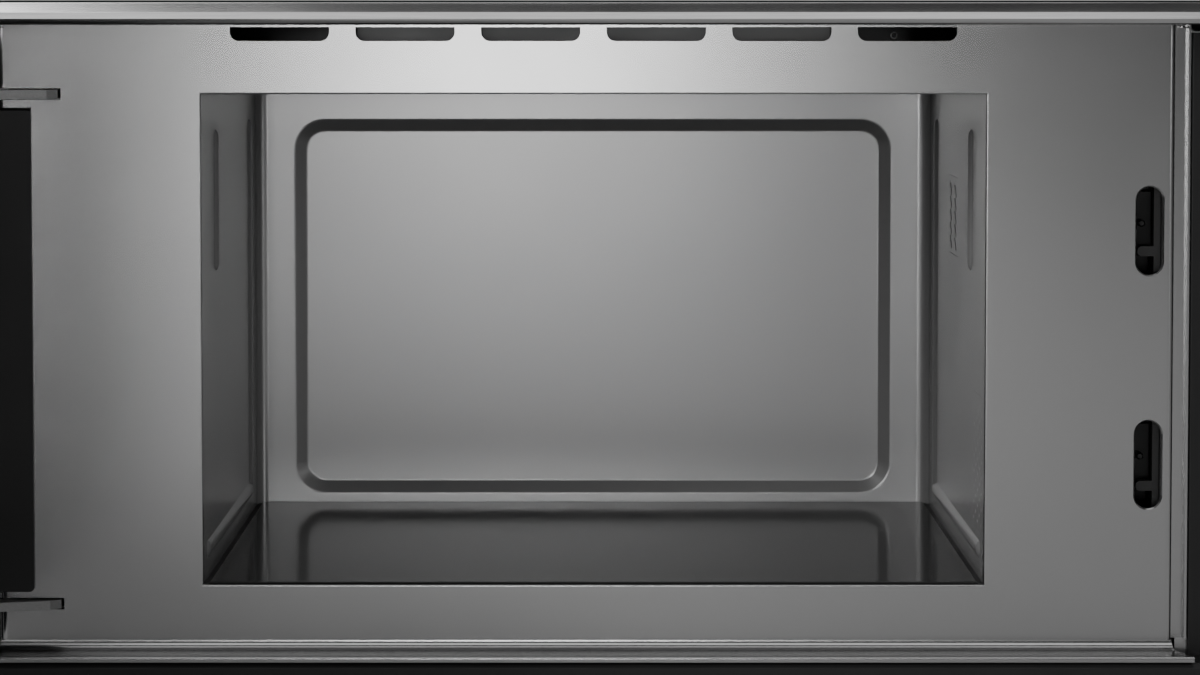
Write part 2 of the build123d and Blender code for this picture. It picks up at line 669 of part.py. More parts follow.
def rear_panel():
    """Case back: fan intake slots, outlet slots and the hole for the cord gland."""
    half = HALF_BODY
    panel = block((-half, half), (REAR_INNER, REAR), (SHEET, TOP_INNER))
    fan_z = SHEET + FAN_SIZE / 2
    for index in range(GRILLE_SLOTS):
        offset = (index - (GRILLE_SLOTS - 1) / 2) * GRILLE_PITCH
        reach = (FAN_BORE_R ** 2 - offset ** 2) ** 0.5 - CASE_SLOT
        x = (FAN_X + offset - CASE_SLOT / 2, FAN_X + offset + CASE_SLOT / 2)
        panel -= block(x, (REAR_INNER - 1, REAR + 1), (fan_z - reach, fan_z + reach))
    high = BODY_HEIGHT - CASE_SLOT_DROP
    for index in range(REAR_SLOTS):
        x = REAR_SLOTS_START + index * CASE_SLOT_PITCH
        panel -= block((x, x + CASE_SLOT), (REAR_INNER - 1, REAR + 1), (high - CASE_SLOT_LENGTH, high))
    panel -= barrel(GLAND_R, GLAND_X, GLAND_Z, REAR_INNER - 1, REAR + 1)
    outer, margin, bead = REAR_BEAD
    z = (margin / 2, BODY_HEIGHT - margin)
    frame = rect((-outer, outer), z, 3 * bead)
    frame -= rect((bead - outer, outer - bead), (z[0] + bead, z[1] - bead), 2 * bead)
    panel += upright(frame, REAR_INNER - SHEET, REAR_INNER)
    return panel


def base_plate():
    """Flat base that the appliance stands on, with flanges and pressed beads."""
    half = HALF_BODY - SHEET
    plate = block((-half, half), (SHEET, REAR_INNER), (0, SHEET))
    lip = PLATE_RIGHT - PLATE_EDGE - SHEET
    plate += block((-lip, lip), (SHEET, 2 * SHEET), (SHEET, BASE_LIP))
    plate += block((-lip, lip), (REAR_INNER - 2 * SHEET, REAR_INNER - SHEET), (SHEET, BASE_SIDE))
    for side in (-1, 1):
        wall = (side * half, side * (half - SHEET))
        plate += block(wall, (2 * CASE_FRONT, REAR_INNER - 2 * SHEET), (SHEET, BASE_SIDE))
        for bead in BASE_BEADS:
            x = (side * bead - BASE_BEAD[0] / 2, side * bead + BASE_BEAD[0] / 2)
            d = (BASE_BEAD[1], 2 * BASE_BEAD[1])
            plate += block(x, d, (SHEET, 2.5 * SHEET))
            plate -= block((x[0] + SHEET, x[1] - SHEET), (d[0] + SHEET, d[1] - SHEET), (-1, 1.5 * SHEET))
    return plate


# Cavity

def rib(x_wall, start, end):
    """A pressed half-round rib on a side wall between two (D, Z) points."""
    radius = (RIB_WIDTH ** 2 / 4 + RIB_HEIGHT ** 2) / (2 * RIB_HEIGHT)
    axis_x = x_wall - RIB_HEIGHT + radius
    length = ((end[0] - start[0]) ** 2 + (end[1] - start[1]) ** 2) ** 0.5
    tilt = degrees(atan2(end[0] - start[0], end[1] - start[1]))
    middle = Pos(axis_x, (start[0] + end[0]) / 2, (start[1] + end[1]) / 2)
    core = middle * Rot(-tilt, 0, 0) * Cylinder(radius, length)
    core += Pos(axis_x, start[0], start[1]) * Sphere(radius)
    core += Pos(axis_x, end[0], end[1]) * Sphere(radius)
    room = block((x_wall - 2 * RIB_HEIGHT, x_wall + LINER / 2), (0, CAVITY_DEPTH + 9), (0, CAVITY_TOP))
    return core & room


def cavity_side_right_blank():
    """Right cavity wall: it turns the rear corner and carries three ribs."""
    start = LIP_DEPTH
    straight_end = CAVITY_DEPTH - CAVITY_CORNER
    outer = HALF_CAVITY + LINER
    centre = Pos(HALF_CAVITY - CAVITY_CORNER, straight_end)
    ring = centre * (Circle(CAVITY_CORNER + LINER) - Circle(CAVITY_CORNER))
    corner = ring & rect((HALF_CAVITY - CAVITY_CORNER, outer), (straight_end, CAVITY_DEPTH + LINER))
    straight = rect((HALF_CAVITY, outer), (start, straight_end))
    joint = HALF_CAVITY - 1.6 * CAVITY_CORNER
    back = rect((joint, HALF_CAVITY - CAVITY_CORNER), (CAVITY_DEPTH, CAVITY_DEPTH + LINER))
    wall = rising(straight + corner + back, PAN_TOP, CAVITY_TOP)
    end = RIB_HEIGHT + 2
    wall += rib(HALF_CAVITY, (RIB_FRONT, RIB_FRONT_BOTTOM + end), (RIB_FRONT, RIB_TOP - end))
    wall += rib(HALF_CAVITY, (RIB_REAR, RIB_REAR_BOTTOM + end), (RIB_REAR, RIB_TOP - end))
    wall += rib(HALF_CAVITY, (RIB_FLOOR_FRONT, RIB_REAR_BOTTOM), (RIB_REAR, RIB_REAR_BOTTOM))
    return wall


def screen_window(depths, heights):
    """The window in the right wall that a screen fills."""
    b = SCREEN_BORDER
    x = (HALF_CAVITY - 1, HALF_CAVITY + LINER + 1)
    return block(x, (depths[0] - b, depths[1] + b), (heights[0] - b, heights[1] + b))


def cavity_side_right():
    """Right cavity wall with windows for the inlet screen and the lamp screen."""
    wall = cavity_side_right_blank()
    behind_lip = block((0, HALF_BODY), (LIP_DEPTH + SHEET / 2, BODY_DEPTH), (0, BODY_HEIGHT))
    wall -= screen_window(INLET_DEPTHS, INLET_HEIGHTS) & behind_lip
    wall -= screen_window(LAMP_DEPTHS, LAMP_HEIGHTS)
    return wall


def cavity_side_left():
    """Left cavity wall, the mirror of the right one without its windows."""
    return mirrored(cavity_side_right_blank())


def cavity_screens():
    """Two flush plates: fine round holes for air, slanted slots for the lamp."""
    x = (HALF_CAVITY, HALF_CAVITY + LINER)
    cut_x = (HALF_CAVITY - 1, HALF_CAVITY + LINER + 1)
    b = SCREEN_BORDER - CLEARANCE / 2
    front = LIP_DEPTH + SHEET / 2 + CLEARANCE / 2
    inlet = block(x, (front, INLET_DEPTHS[1] + b), (INLET_HEIGHTS[0] - b, INLET_HEIGHTS[1] + b))
    step_d = (INLET_DEPTHS[1] - INLET_DEPTHS[0]) / INLET_COLUMNS
    step_z = (INLET_HEIGHTS[1] - INLET_HEIGHTS[0]) / INLET_ROWS
    for column in range(INLET_COLUMNS):
        for row in range(INLET_ROWS):
            d = INLET_DEPTHS[0] + (column + 0.5) * step_d
            z = INLET_HEIGHTS[0] + (row + 0.25 + 0.5 * (column % 2)) * step_z
            hole = Pos(HALF_CAVITY, d, z) * Rot(0, 90, 0) * extrude(
                RegularPolygon(INLET_HOLE, 6), amount=3, both=True)
            inlet -= hole
    lamp = block(x, (LAMP_DEPTHS[0] - b, LAMP_DEPTHS[1] + b), (LAMP_HEIGHTS[0] - b, LAMP_HEIGHTS[1] + b))
    for column in range(LOUVRE_COLUMNS):
        for row in range(LOUVRE_ROWS):
            d = LAMP_DEPTHS[0] + (column + 0.5) * (LAMP_DEPTHS[1] - LAMP_DEPTHS[0]) / LOUVRE_COLUMNS
            z = LAMP_HEIGHTS[0] + (row + 0.5) * (LAMP_HEIGHTS[1] - LAMP_HEIGHTS[0]) / LOUVRE_ROWS
            slot = Box(cut_x[1] - cut_x[0], LOUVRE[0], LOUVRE[1])
            lamp -= Pos(HALF_CAVITY, d, z) * Rot(LOUVRE_ANGLE, 0, 0) * slot
    return [inlet, lamp]


def pressed_outline(shrink):
    """The outline of the back wall's pressed panel, drawn in by a distance."""
    half = PANEL_WIDTH / 2 - shrink
    return rect((-half, half), (PANEL_BOTTOM + shrink, PANEL_TOP - shrink), PANEL_CORNER - shrink)


def pressed_body(grow, d0, d1):
    """The sloping block between the panel's outer and inner outlines."""
    outer = front_plane(d0) * pressed_outline(-grow)
    inner = front_plane(d1) * pressed_outline(PANEL_SLOPE - grow)
    return loft([outer, inner], ruled=True)


def cavity_back():
    """Back wall with a panel pressed backwards inside a sloping frame."""
    half = HALF_CAVITY - 1.6 * CAVITY_CORNER
    back = CAVITY_DEPTH + LINER
    wall = block((-half, half), (CAVITY_DEPTH, back), (PAN_TOP, CAVITY_TOP))
    wall += pressed_body(LINER / 2, CAVITY_DEPTH, CAVITY_DEPTH + PANEL_RECESS + LINER)
    wall -= pressed_body(0, CAVITY_DEPTH, CAVITY_DEPTH + PANEL_RECESS)
    inside = PANEL_WIDTH / 2 + 1
    rims = edges_at(wall, CAVITY_DEPTH, lambda p: abs(p.X) < inside and PANEL_BOTTOM - 1 < p.Z < PANEL_TOP + 1)
    wall = fillet(rims, PANEL_EDGE)
    deep = edges_at(wall, CAVITY_DEPTH + PANEL_RECESS, lambda p: True)
    return fillet(deep, PANEL_EDGE)


def cavity_ceiling():
    """Flat ceiling sheet on top of the cavity walls."""
    outer = HALF_CAVITY + LINER
    sheet = block((-outer, outer), (LIP_DEPTH, CAVITY_DEPTH + LINER), (CAVITY_TOP, CAVITY_TOP + LINER))
    for x in CEILING_BEADS:
        bead = (x - CEILING_BEAD / 2, x + CEILING_BEAD / 2)
        d = (CEILING_BEAD_MARGIN, CAVITY_DEPTH - CEILING_BEAD_MARGIN)
        sheet += block(bead, d, (CAVITY_TOP + LINER, CAVITY_TOP + 2 * LINER))
    return sheet


def floor_pan():
    """Sheet under the ceramic floor with the round well of the rotating antenna."""
    outer = HALF_CAVITY + LINER
    pan = block((-outer, outer), (SHEET, CAVITY_DEPTH + LINER), (PAN_TOP - LINER, PAN_TOP))
    pan += rod(WELL_R + LINER, 0, STIRRER_D, WELL_BOTTOM, PAN_TOP)
    pan -= rod(WELL_R, 0, STIRRER_D, WELL_BOTTOM + LINER, PAN_TOP + 1)
    pan -= rod(3 * SHAFT_R, 0, STIRRER_D, WELL_BOTTOM - 1, PAN_TOP)
    return pan


def floor_outline(grow):
    """Plan of the ceramic floor: square at the front, rounded at the back."""
    half = HALF_CAVITY - FLOOR_JOINT + grow
    back = CAVITY_DEPTH - FLOOR_JOINT / 2 + grow / 2
    corner = CAVITY_CORNER - FLOOR_JOINT + grow
    start = SHEET + CLEARANCE
    rounded = rect((-half, half), (start - 2 * corner, back), corner)
    return rounded & rect((-half, half), (start, back))


def ceramic_floor():
    """Dark glass-ceramic plate that the food stands on."""
    plate = rising(floor_outline(0), PAN_TOP, FLOOR_TOP)
    upper = plate.faces().sort_by(Axis.Z)[-1].edges()
    return chamfer(upper, 0.4)


def floor_seal():
    """Black silicone joint round the ceramic floor, open at the front."""
    outline = floor_outline(FLOOR_JOINT - RUNNING) - floor_outline(0)
    return rising(outline, PAN_TOP, PAN_TOP + SEAL_HEIGHT)


def lamp_housing():
    """Open box behind the lamp screen, with the lamp on its back wall."""
    left = HALF_CAVITY + LINER
    edge = LAMP_BOX_MARGIN
    d = (LAMP_DEPTHS[0] - edge, LAMP_DEPTHS[1] + edge)
    z = (LAMP_HEIGHTS[0] - edge, LAMP_HEIGHTS[1] + edge)
    box = block((left, left + LAMP_BOX_DEPTH), d, z)
    box -= block((left, left + LAMP_BOX_DEPTH - AIR_WALL), (d[0] + AIR_WALL, d[1] - AIR_WALL),
                 (z[0] + AIR_WALL, z[1] - AIR_WALL))
    middle = ((d[0] + d[1]) / 2, (z[0] + z[1]) / 2)
    bulb = Pos(left + LAMP_BOX_DEPTH - 9, middle[0], middle[1]) * Rot(0, 90, 0) * Cylinder(LAMP_R, 16)
    return box + bulb


def vent_duct():
    """Sheet channel that leads warm air to the notches under the bar."""
    half = VENT_PITCH * VENT_COUNT / 2
    floor_front = VENT_BOTTOM - AIR_WALL
    roof = VENT_TOP + 2.5 * SHEET
    back = DUCT_LENGTH
    floor_back = CAVITY_TOP + DUCT_DROP
    floor = polygon([(SHEET, floor_front), (back, floor_back), (back, floor_back - SHEET),
                     (SHEET, floor_front - SHEET)])
    top = rect((SHEET, back), (roof, roof + SHEET))
    end = polygon([(SHEET, floor_front), (SHEET, roof), (back, roof), (back, floor_back)])
    duct = crosswise(floor + top, -half, half)
    for x in (-half, half - SHEET):
        duct += crosswise(end, x, x + SHEET)
    inner = 2 * VENT_PITCH - (VENT_PITCH - VENT_WIDTH) / 2
    baffle = rect((BAFFLE_DEPTH, BAFFLE_DEPTH + SHEET), (floor_front - SHEET, roof))
    return duct + crosswise(baffle, -inner, inner)


# Microwave source

def waveguide():
    """Flat rectangular tube from the magnetron to the antenna well."""
    d = (STIRRER_D - GUIDE_WIDTH / 2, STIRRER_D + GUIDE_WIDTH / 2)
    z = (GUIDE_BOTTOM, WELL_BOTTOM)
    guide = block((GUIDE_START, GUIDE_END), d, z)
    guide -= block((GUIDE_START + SHEET, GUIDE_END - SHEET), (d[0] + SHEET, d[1] - SHEET),
                   (z[0] + SHEET, z[1] - SHEET))
    guide -= rod(3 * SHAFT_R, 0, STIRRER_D, z[1] - 2 * SHEET, z[1] + 1)
    guide -= rod(SHAFT_R + CLEARANCE, 0, STIRRER_D, z[0] - 1, z[0] + 2 * SHEET)
    guide -= rod(DOME_R + 3, TUBE_X, STIRRER_D, z[1] - 2 * SHEET, z[1] + 1)
    return guide


def stirrer_motor():
    """Flat gear motor under the waveguide."""
    top = GUIDE_BOTTOM
    motor = rod(MOTOR_R, 0, STIRRER_D, top - MOTOR_HEIGHT, top)
    reach = MOTOR_R + MOTOR_EAR
    motor += block((-reach, reach), (STIRRER_D - MOTOR_EAR, STIRRER_D + MOTOR_EAR), (top - SHEET, top))
    motor += block((-MOTOR_EAR, MOTOR_EAR), (STIRRER_D - reach, STIRRER_D), (top - MOTOR_HEIGHT, top - WALL))
    return motor - rod(SHAFT_R + RUNNING, 0, STIRRER_D, top - MOTOR_BORE, top + 1)


def stirrer_antenna():
    """Rotating antenna: a lobed metal disc on a stepped drive shaft."""
    disc = Circle(ANTENNA_R)
    for angle in (0, 120, 240):
        slot = Pos(ANTENNA_R * 0.62, 0) * Rot(0, 0, 90) * SlotOverall(ANTENNA_R * 0.8, ANTENNA_SLOT)
        disc -= Rot(0, 0, angle) * slot
    disc -= Rot(0, 0, 60) * (Pos(ANTENNA_R, 0) * Circle(ANTENNA_BITE))
    plate = rising(Pos(0, STIRRER_D) * disc, ANTENNA_Z, ANTENNA_Z + ANTENNA_SHEET)
    hub = rod(2.2 * SHAFT_R, 0, STIRRER_D, ANTENNA_Z - 2, ANTENNA_Z + 4)
    shaft = rod(SHAFT_R, 0, STIRRER_D, GUIDE_BOTTOM - MOTOR_BORE + CLEARANCE, ANTENNA_Z + 1)
    return plate + hub + shaft


def magnetron_yoke():
    """Steel yoke of the magnetron, open front and back for cooling air."""
    x = (TUBE_X - YOKE_WIDTH / 2, TUBE_X + YOKE_WIDTH / 2)
    d = (STIRRER_D - YOKE_LENGTH / 2, STIRRER_D + YOKE_LENGTH / 2)
    z = (WELL_BOTTOM, WELL_BOTTOM + YOKE_HEIGHT)
    s = YOKE_SHEET
    yoke = block(x, d, z) - block((x[0] + s, x[1] - s), (d[0] - 1, d[1] + 1), (z[0] + s, z[1] - s))
    return yoke - rod(DOME_R + 1, TUBE_X, STIRRER_D, z[0] - 1, z[0] + 2 * s)


def magnetron_tube():
    """Anode with its magnets, cooling fins and antenna dome."""
    low = WELL_BOTTOM + YOKE_SHEET
    high = WELL_BOTTOM + YOKE_HEIGHT - YOKE_SHEET
    tube = rod(ANODE_R, TUBE_X, STIRRER_D, low + MAGNET, high - MAGNET)
    tube += rod(1.35 * ANODE_R, TUBE_X, STIRRER_D, low, low + MAGNET)
    tube += rod(1.35 * ANODE_R, TUBE_X, STIRRER_D, high - MAGNET, high)
    tube += rod(DOME_R, TUBE_X, STIRRER_D, WELL_BOTTOM - DOME_REACH, low)
    half = YOKE_WIDTH / 2 - YOKE_SHEET
    room = high - low - 2 * MAGNET
    for index in range(FIN_COUNT):
        z = low + MAGNET + room * (index + 0.5) / FIN_COUNT
        d = (STIRRER_D - YOKE_LENGTH / 2 + WALL, STIRRER_D + YOKE_LENGTH / 2 - WALL)
        tube += block((TUBE_X - half, TUBE_X + half), d, (z - FIN_SHEET / 2, z + FIN_SHEET / 2))
    return tube


def magnetron_filter():
    """Filter box on top of the yoke with its two-pin connector."""
    z = WELL_BOTTOM + YOKE_HEIGHT
    wide, long, high = FILTER_BOX
    d = (STIRRER_D - long / 2, STIRRER_D + long / 2)
    box = block((TUBE_X - wide / 2, TUBE_X + wide / 2), d, (z, z + high))
    box = chamfer(box.edges() | Axis.Z, WALL)
    reach, across, tall = FILTER_PLUG
    x = (TUBE_X + wide / 2, TUBE_X + wide / 2 + reach)
    return box + block(x, (STIRRER_D - across / 2, STIRRER_D + across / 2), (z + WALL, z + WALL + tall))


# Air

def fan_centre():
    """Height of the fan's axis."""
    return SHEET + FAN_SIZE / 2


def fan_frame():
    """Square fan frame with its bore, motor cup and struts."""
    z = fan_centre()
    back = FAN_FRONT + FAN_LENGTH
    square = rect((FAN_X - FAN_SIZE / 2, FAN_X + FAN_SIZE / 2), (SHEET, SHEET + FAN_SIZE), 5)
    frame = upright(square - Pos(FAN_X, z) * Circle(FAN_BORE_R), FAN_FRONT, back)
    for angle in (45, 135, 225, 315):
        strut = Pos(FAN_BORE_R / 2 + WALL, 0, 0) * Box(FAN_BORE_R, FAN_STRUT, FAN_STRUT)
        frame += Pos(FAN_X, back - FAN_STRUT / 2, z) * Rot(0, angle, 0) * strut
        reach = 0.6 * FAN_SIZE
        x = FAN_X + reach * cos(radians(angle))
        frame -= barrel(FAN_SCREW_R, x, z + reach * sin(radians(angle)), FAN_FRONT - 1, back + 1)
    frame += barrel(FAN_HUB_R, FAN_X, z, back - FAN_CUP, back)
    return frame - barrel(FAN_SHAFT_R + RUNNING, FAN_X, z, back - FAN_CUP - 1, back - AIR_WALL)


def fan_blade(angle):
    """One pitched blade that widens towards its tip."""
    root, tip = FAN_CHORD
    outline = polygon([
        (FAN_HUB_R - WALL, -root / 2), (FAN_TIP_R + WALL, -tip / 2),
        (FAN_TIP_R + WALL, tip / 2), (FAN_HUB_R - WALL, root / 2),
    ])
    blade = extrude(outline, amount=FAN_BLADE / 2, both=True)
    return Rot(0, angle, 0) * Rot(FAN_PITCH, 0, 0) * blade


def fan_wheel():
    """Axial wheel: hub, pitched blades trimmed to the tip circle, and shaft."""
    hub_front = FAN_FRONT + 1.5
    hub_back = FAN_FRONT + FAN_LENGTH - FAN_CUP - CLEARANCE
    middle = (hub_front + hub_back) / 2
    half = (hub_back - hub_front) / 2
    blades = fan_blade(0)
    for index in range(1, FAN_BLADES):
        blades += fan_blade(360 / FAN_BLADES * index)
    wheel = blades & barrel(FAN_TIP_R, 0, 0, -half, half)
    wheel += barrel(FAN_HUB_R, 0, 0, -half, half)
    wheel += barrel(FAN_SHAFT_R, 0, 0, 0, FAN_FRONT + FAN_LENGTH - WALL - middle)
    return Pos(FAN_X, middle, fan_centre()) * wheel


def air_duct():
    """Plastic duct from the magnetron's fins to the inlet screen."""
    wall = AIR_WALL
    left = HALF_CAVITY + LINER
    right = TUBE_X + YOKE_WIDTH / 2
    back = STIRRER_D - YOKE_LENGTH / 2
    bend = INLET_DEPTHS[1] + 8
    front = INLET_DEPTHS[0]
    right_front = CARRIER_X[0] - 4
    z_back = (WELL_BOTTOM, WELL_BOTTOM + YOKE_HEIGHT)
    z_front = (INLET_HEIGHTS[0] - 5, INLET_HEIGHTS[1] + 5)

    def skin(inset):
        rear = front_plane(back) * rect((left + inset, right - inset), (z_back[0] + inset, z_back[1] - inset))
        fore = front_plane(bend) * rect((left + inset, right_front - inset),
                                        (z_front[0] + inset, z_front[1] - inset))
        return loft([rear, fore], ruled=True)

    chamber = block((left, right_front), (front, bend), z_front)
    room = block((left - 1, right_front - wall), (front + wall, bend),
                 (z_front[0] + wall, z_front[1] - wall))
    return (chamber + skin(0)) - room - skin(wall)


# Supply

def transformer_core():
    """Laminated core with two windows and a mounting foot."""
    z = SHEET + 2
    x = (CORE_X - CORE[0] / 2, CORE_X + CORE[0] / 2)
    d = (CORE_D - CORE[1] / 2, CORE_D + CORE[1] / 2)
    core = block(x, d, (z, z + CORE[2]))
    window = (z + (CORE[2] - COIL_HEIGHT) / 2, z + (CORE[2] + COIL_HEIGHT) / 2)
    for side in (-1, 1):
        hole = (CORE_X + side * CORE_LEG / 2, CORE_X + side * (CORE_LEG / 2 + COIL + CLEARANCE))
        core -= block(hole, (d[0] - 1, d[1] + 1), window)
    foot = block((x[0] - CORE_FOOT, x[1] + CORE_FOOT), (d[0] + CORE_FOOT, d[1] - CORE_FOOT), (SHEET, z))
    return core + foot


def transformer_coils():
    """Primary and secondary windings on the middle leg."""
    z = SHEET + 2 + (CORE[2] - COIL_HEIGHT) / 2
    inner = (CORE_LEG, CORE[1])
    coils = []
    middle = COIL_HEIGHT / 2
    for low, high in ((CLEARANCE, middle - 1), (middle + 1, COIL_HEIGHT - CLEARANCE)):
        ring = RectangleRounded(inner[0] + 2 * COIL, inner[1] + 2 * COIL, COIL - 1)
        ring -= Rectangle(inner[0] + RUNNING, inner[1] + RUNNING)
        coils.append(rising(Pos(CORE_X, CORE_D) * ring, z + low, z + high))
    return coils


def hv_capacitor():
    """Oval capacitor can with two tabs, held by a strap to the base."""
    x, d, z = CAPACITOR
    can = rising(Pos(CAPACITOR_X, CAPACITOR_D) * Rot(0, 0, 90) * SlotOverall(d, x), SHEET, SHEET + z)
    strap = Pos(CAPACITOR_X, CAPACITOR_D) * Rot(0, 0, 90) * SlotOverall(d + 2, x + 2)
    can += rising(strap, 0.4 * z, 0.4 * z + CAPACITOR_STRAP)
    thick, wide, high = TAB
    for step in (-1.5, 1.5):
        tab = (CAPACITOR_D + step * wide - wide / 2, CAPACITOR_D + step * wide + wide / 2)
        can += block((CAPACITOR_X - thick / 2, CAPACITOR_X + thick / 2), tab, (SHEET + z, SHEET + z + high))
    return can


def filter_board():
    """Mains filter board on its tray above the cavity."""
    z = CAVITY_TOP + 2 * LINER
    wide, long = FILTER_BOARD
    left = FILTER_BOARD_X
    front = FILTER_BOARD_BACK - long
    top = z + WALL
    board = block((left, left + wide), (front, FILTER_BOARD_BACK), (z, top))
    x, d, high = FILTER_BLOCK
    board += block((left + x / 2, left + 1.5 * x), (front + x / 2, front + x / 2 + d), (top, top + high))
    for step in (0.5, 0.75):
        board += rod(CHOKE_R, left + step * wide, front + 0.35 * long, top, top + CHOKE_HEIGHT)
    x, d, high = FILTER_CAP
    for step in (0.1, 0.4):
        start = (left + step * wide, front + 0.68 * long)
        board += block((start[0], start[0] + x), (start[1], start[1] + d), (top, top + high))
    return board


def terminal_block():
    """Three-way mains terminal on a foot against the rear panel."""
    wide, deep, high = TERMINAL
    x = (GLAND_X + TERMINAL_GAP, GLAND_X + TERMINAL_GAP + wide)
    z = (GLAND_Z - high / 2, GLAND_Z + high / 2)
    body = block(x, (REAR_INNER - deep, REAR_INNER), z)
    pitch = wide / TERMINAL_WAYS
    for index in range(TERMINAL_WAYS):
        way = (x[0] + index * pitch + WALL, x[0] + (index + 1) * pitch - WALL)
        body -= block(way, (REAR_INNER - deep - 1, REAR_INNER - deep / 2), (z[0] + 2 * WALL, z[1] - 2 * WALL))
    return body


def cord_gland():
    """Clamping gland in the rear panel for a mains cord."""
    inside = REAR_INNER - GLAND_LENGTH + SHEET
    gland = barrel(GLAND_R - RUNNING, GLAND_X, GLAND_Z, inside, REAR)
    hexagon = Pos(GLAND_X, GLAND_Z) * RegularPolygon(GLAND_R + GLAND_NUT, 6)
    nut = upright(hexagon, REAR_INNER - 2 * GLAND_NUT, REAR_INNER)
    return gland + nut - barrel(GLAND_BORE_R, GLAND_X, GLAND_Z, inside - 1, REAR + 1)


def harness():
    """Wire bundle from the filter board to the control board."""
    r = HARNESS_R
    z = CAVITY_TOP + 2 * LINER + r
    start_x = FILTER_BOARD_X - r
    bend_x = start_x - 2 * HARNESS_BEND
    start_d = FILTER_BOARD_BACK - 2 * HARNESS_BEND
    end_z = BAR_TOP + CONTROL_HEIGHT / 4
    points = [
        (start_x, start_d, z), (bend_x, start_d, z),
        (bend_x, start_d / 3, end_z), (bend_x, CASE_FRONT, end_z),
    ]
    path = FilletPolyline(*points, radius=HARNESS_BEND)
    return sweep(Plane(path @ 0, z_dir=path % 0) * Circle(r), path)


# Hinges on the case

def hinge_bracket(arm, up):
    """Steel arm that reaches out of its slot to the pin, with a screwed leg."""
    root = ARM_ROOT_X
    back = CASE_FRONT + 2
    leg_x = (root - HINGE_LEG_WIDTH, root)
    outline = polygon([
        (PIN_X + 1.4, PIN_D - EYE_R + 0.2), (root - 4.4, -4.5), (root, -0.8), (root, back),
        (leg_x[0], back), (leg_x[0], 3.2), (PIN_X + 1.6, PIN_D + EYE_R - 0.25),
    ])
    plate = rising(outline + Pos(PIN_X, PIN_D) * Circle(EYE_R), arm, arm + ARM)
    legs = (arm, arm + HINGE_LEG) if up else (arm + ARM - HINGE_LEG, arm + ARM)
    plate += block(leg_x, (CASE_FRONT, back), legs)
    return plate - rod(PIN_R, PIN_X, PIN_D, arm - 1, arm + ARM + 1)


def hinge_pins():
    """Two pins, fixed in the bracket eyes and turning in the door's ears."""
    pins = []
    for arm in ARM_HEIGHTS:
        low = arm - KNUCKLE_GAP - EAR
        high = arm + ARM + KNUCKLE_GAP + EAR
        pins.append(rod(PIN_R, PIN_X, PIN_D, low + CLEARANCE, high - CLEARANCE))
    return pins


def hinge_cover():
    """Black cover on the face plate between the two hinge arms."""
    outline = rect((COVER_LEFT, COVER_RIGHT), (COVER_BOTTOM, COVER_TOP), COVER_CORNER)
    squared = rect((COVER_LEFT, COVER_RIGHT), (COVER_BOTTOM + 2 * COVER_CORNER, COVER_TOP))
    cover = upright(outline + squared, -WALL, 0)
    top = edges_at(cover, -WALL, lambda p: p.Z > COVER_TOP - RUNNING)
    return chamfer(top, 0.65 * WALL)


# Lock behind the latch slots

def latch_carrier():
    """Moulded carrier with one chamber behind each latch slot."""
    front = RAIL_BACK
    carrier = block(CARRIER_X, (front, front + CARRIER_DEPTH), CARRIER_HEIGHTS)
    half_x = LATCH_WIDTH / 2 + 0.9
    half_z = LATCH_LENGTH / 2 + 2.5
    for height in LATCH_HEIGHTS:
        chamber_x = (LATCH_X - half_x, LATCH_X + half_x)
        chamber_z = (height - half_z, height + half_z)
        carrier -= block(chamber_x, (front - 1, front + CARRIER_DEPTH - WALL), chamber_z)
    slide_x = (LOCK_BAR_X - CLEARANCE, LOCK_BAR_X + LOCK_BAR + CLEARANCE)
    slide_d = (LOCK_BAR_D[0] - CLEARANCE, LOCK_BAR_D[1] + CLEARANCE)
    slide_z = (CARRIER_HEIGHTS[0] + 4, CARRIER_HEIGHTS[1] + 1)
    return carrier - block(slide_x, slide_d, slide_z)


def lock_slider():
    """Steel bar with two catches that rises behind the door's hooks."""
    bottom = CARRIER_HEIGHTS[0] + 4 + CLEARANCE
    top = CARRIER_HEIGHTS[1] - LOCK_TRAVEL - 1.5
    slider = block((LOCK_BAR_X, LOCK_BAR_X + LOCK_BAR), LOCK_BAR_D, (bottom, top))
    for centre in HOOK_CENTRES:
        nose = centre - HOOK_HEIGHT / 2 - HOOK_NOSE
        high = nose - 2 * CLEARANCE
        x = (LOCK_BAR_X - LUG_REACH, LOCK_BAR_X)
        catch = block(x, (LOCK_BAR_D[0], LOCK_BAR_D[1] - 2 * CLEARANCE), (high - LUG_HEIGHT, high))
        free = [edge for edge in catch.edges() | Axis.Y if edge.center().X < LOCK_BAR_X - 1]
        slider += chamfer(free, 1.2)
    return slider


def lock_motor():
    """Geared motor that lifts the lock slider."""
    z = CARRIER_HEIGHTS[1]
    deep, high = LOCK_GEARBOX
    r, length = LOCK_MOTOR
    front = RAIL_BACK + 3
    body = block(CARRIER_X, (front, front + deep), (z, z + high))
    return body + rod(r, sum(CARRIER_X) / 2, front + deep / 2, z + high, z + high + length)


def door_switch(centre):
    """One door switch at the back of a latch chamber."""
    half = SWITCH_HEIGHT / 2
    x = (LATCH_X - SWITCH_WIDTH / 2, LATCH_X + SWITCH_WIDTH / 2)
    d = (SWITCH_FRONT, RAIL_BACK + CARRIER_DEPTH - WALL)
    switch = block(x, d, (centre - half, centre + half))
    return switch - barrel(PLUNGER_R + RUNNING, LATCH_X, centre, SWITCH_FRONT - 1, PLUNGER_BORE_BACK)


def switch_plunger(centre):
    """Push pin of one door switch."""
    tip = HOOK_REACH + 0.5
    pin = barrel(PLUNGER_R, LATCH_X, centre, tip, PLUNGER_BORE_BACK - PLUNGER_TRAVEL - 0.5)
    return chamfer(edges_at(pin, tip, lambda p: True), 0.6)


# Door, modelled shut

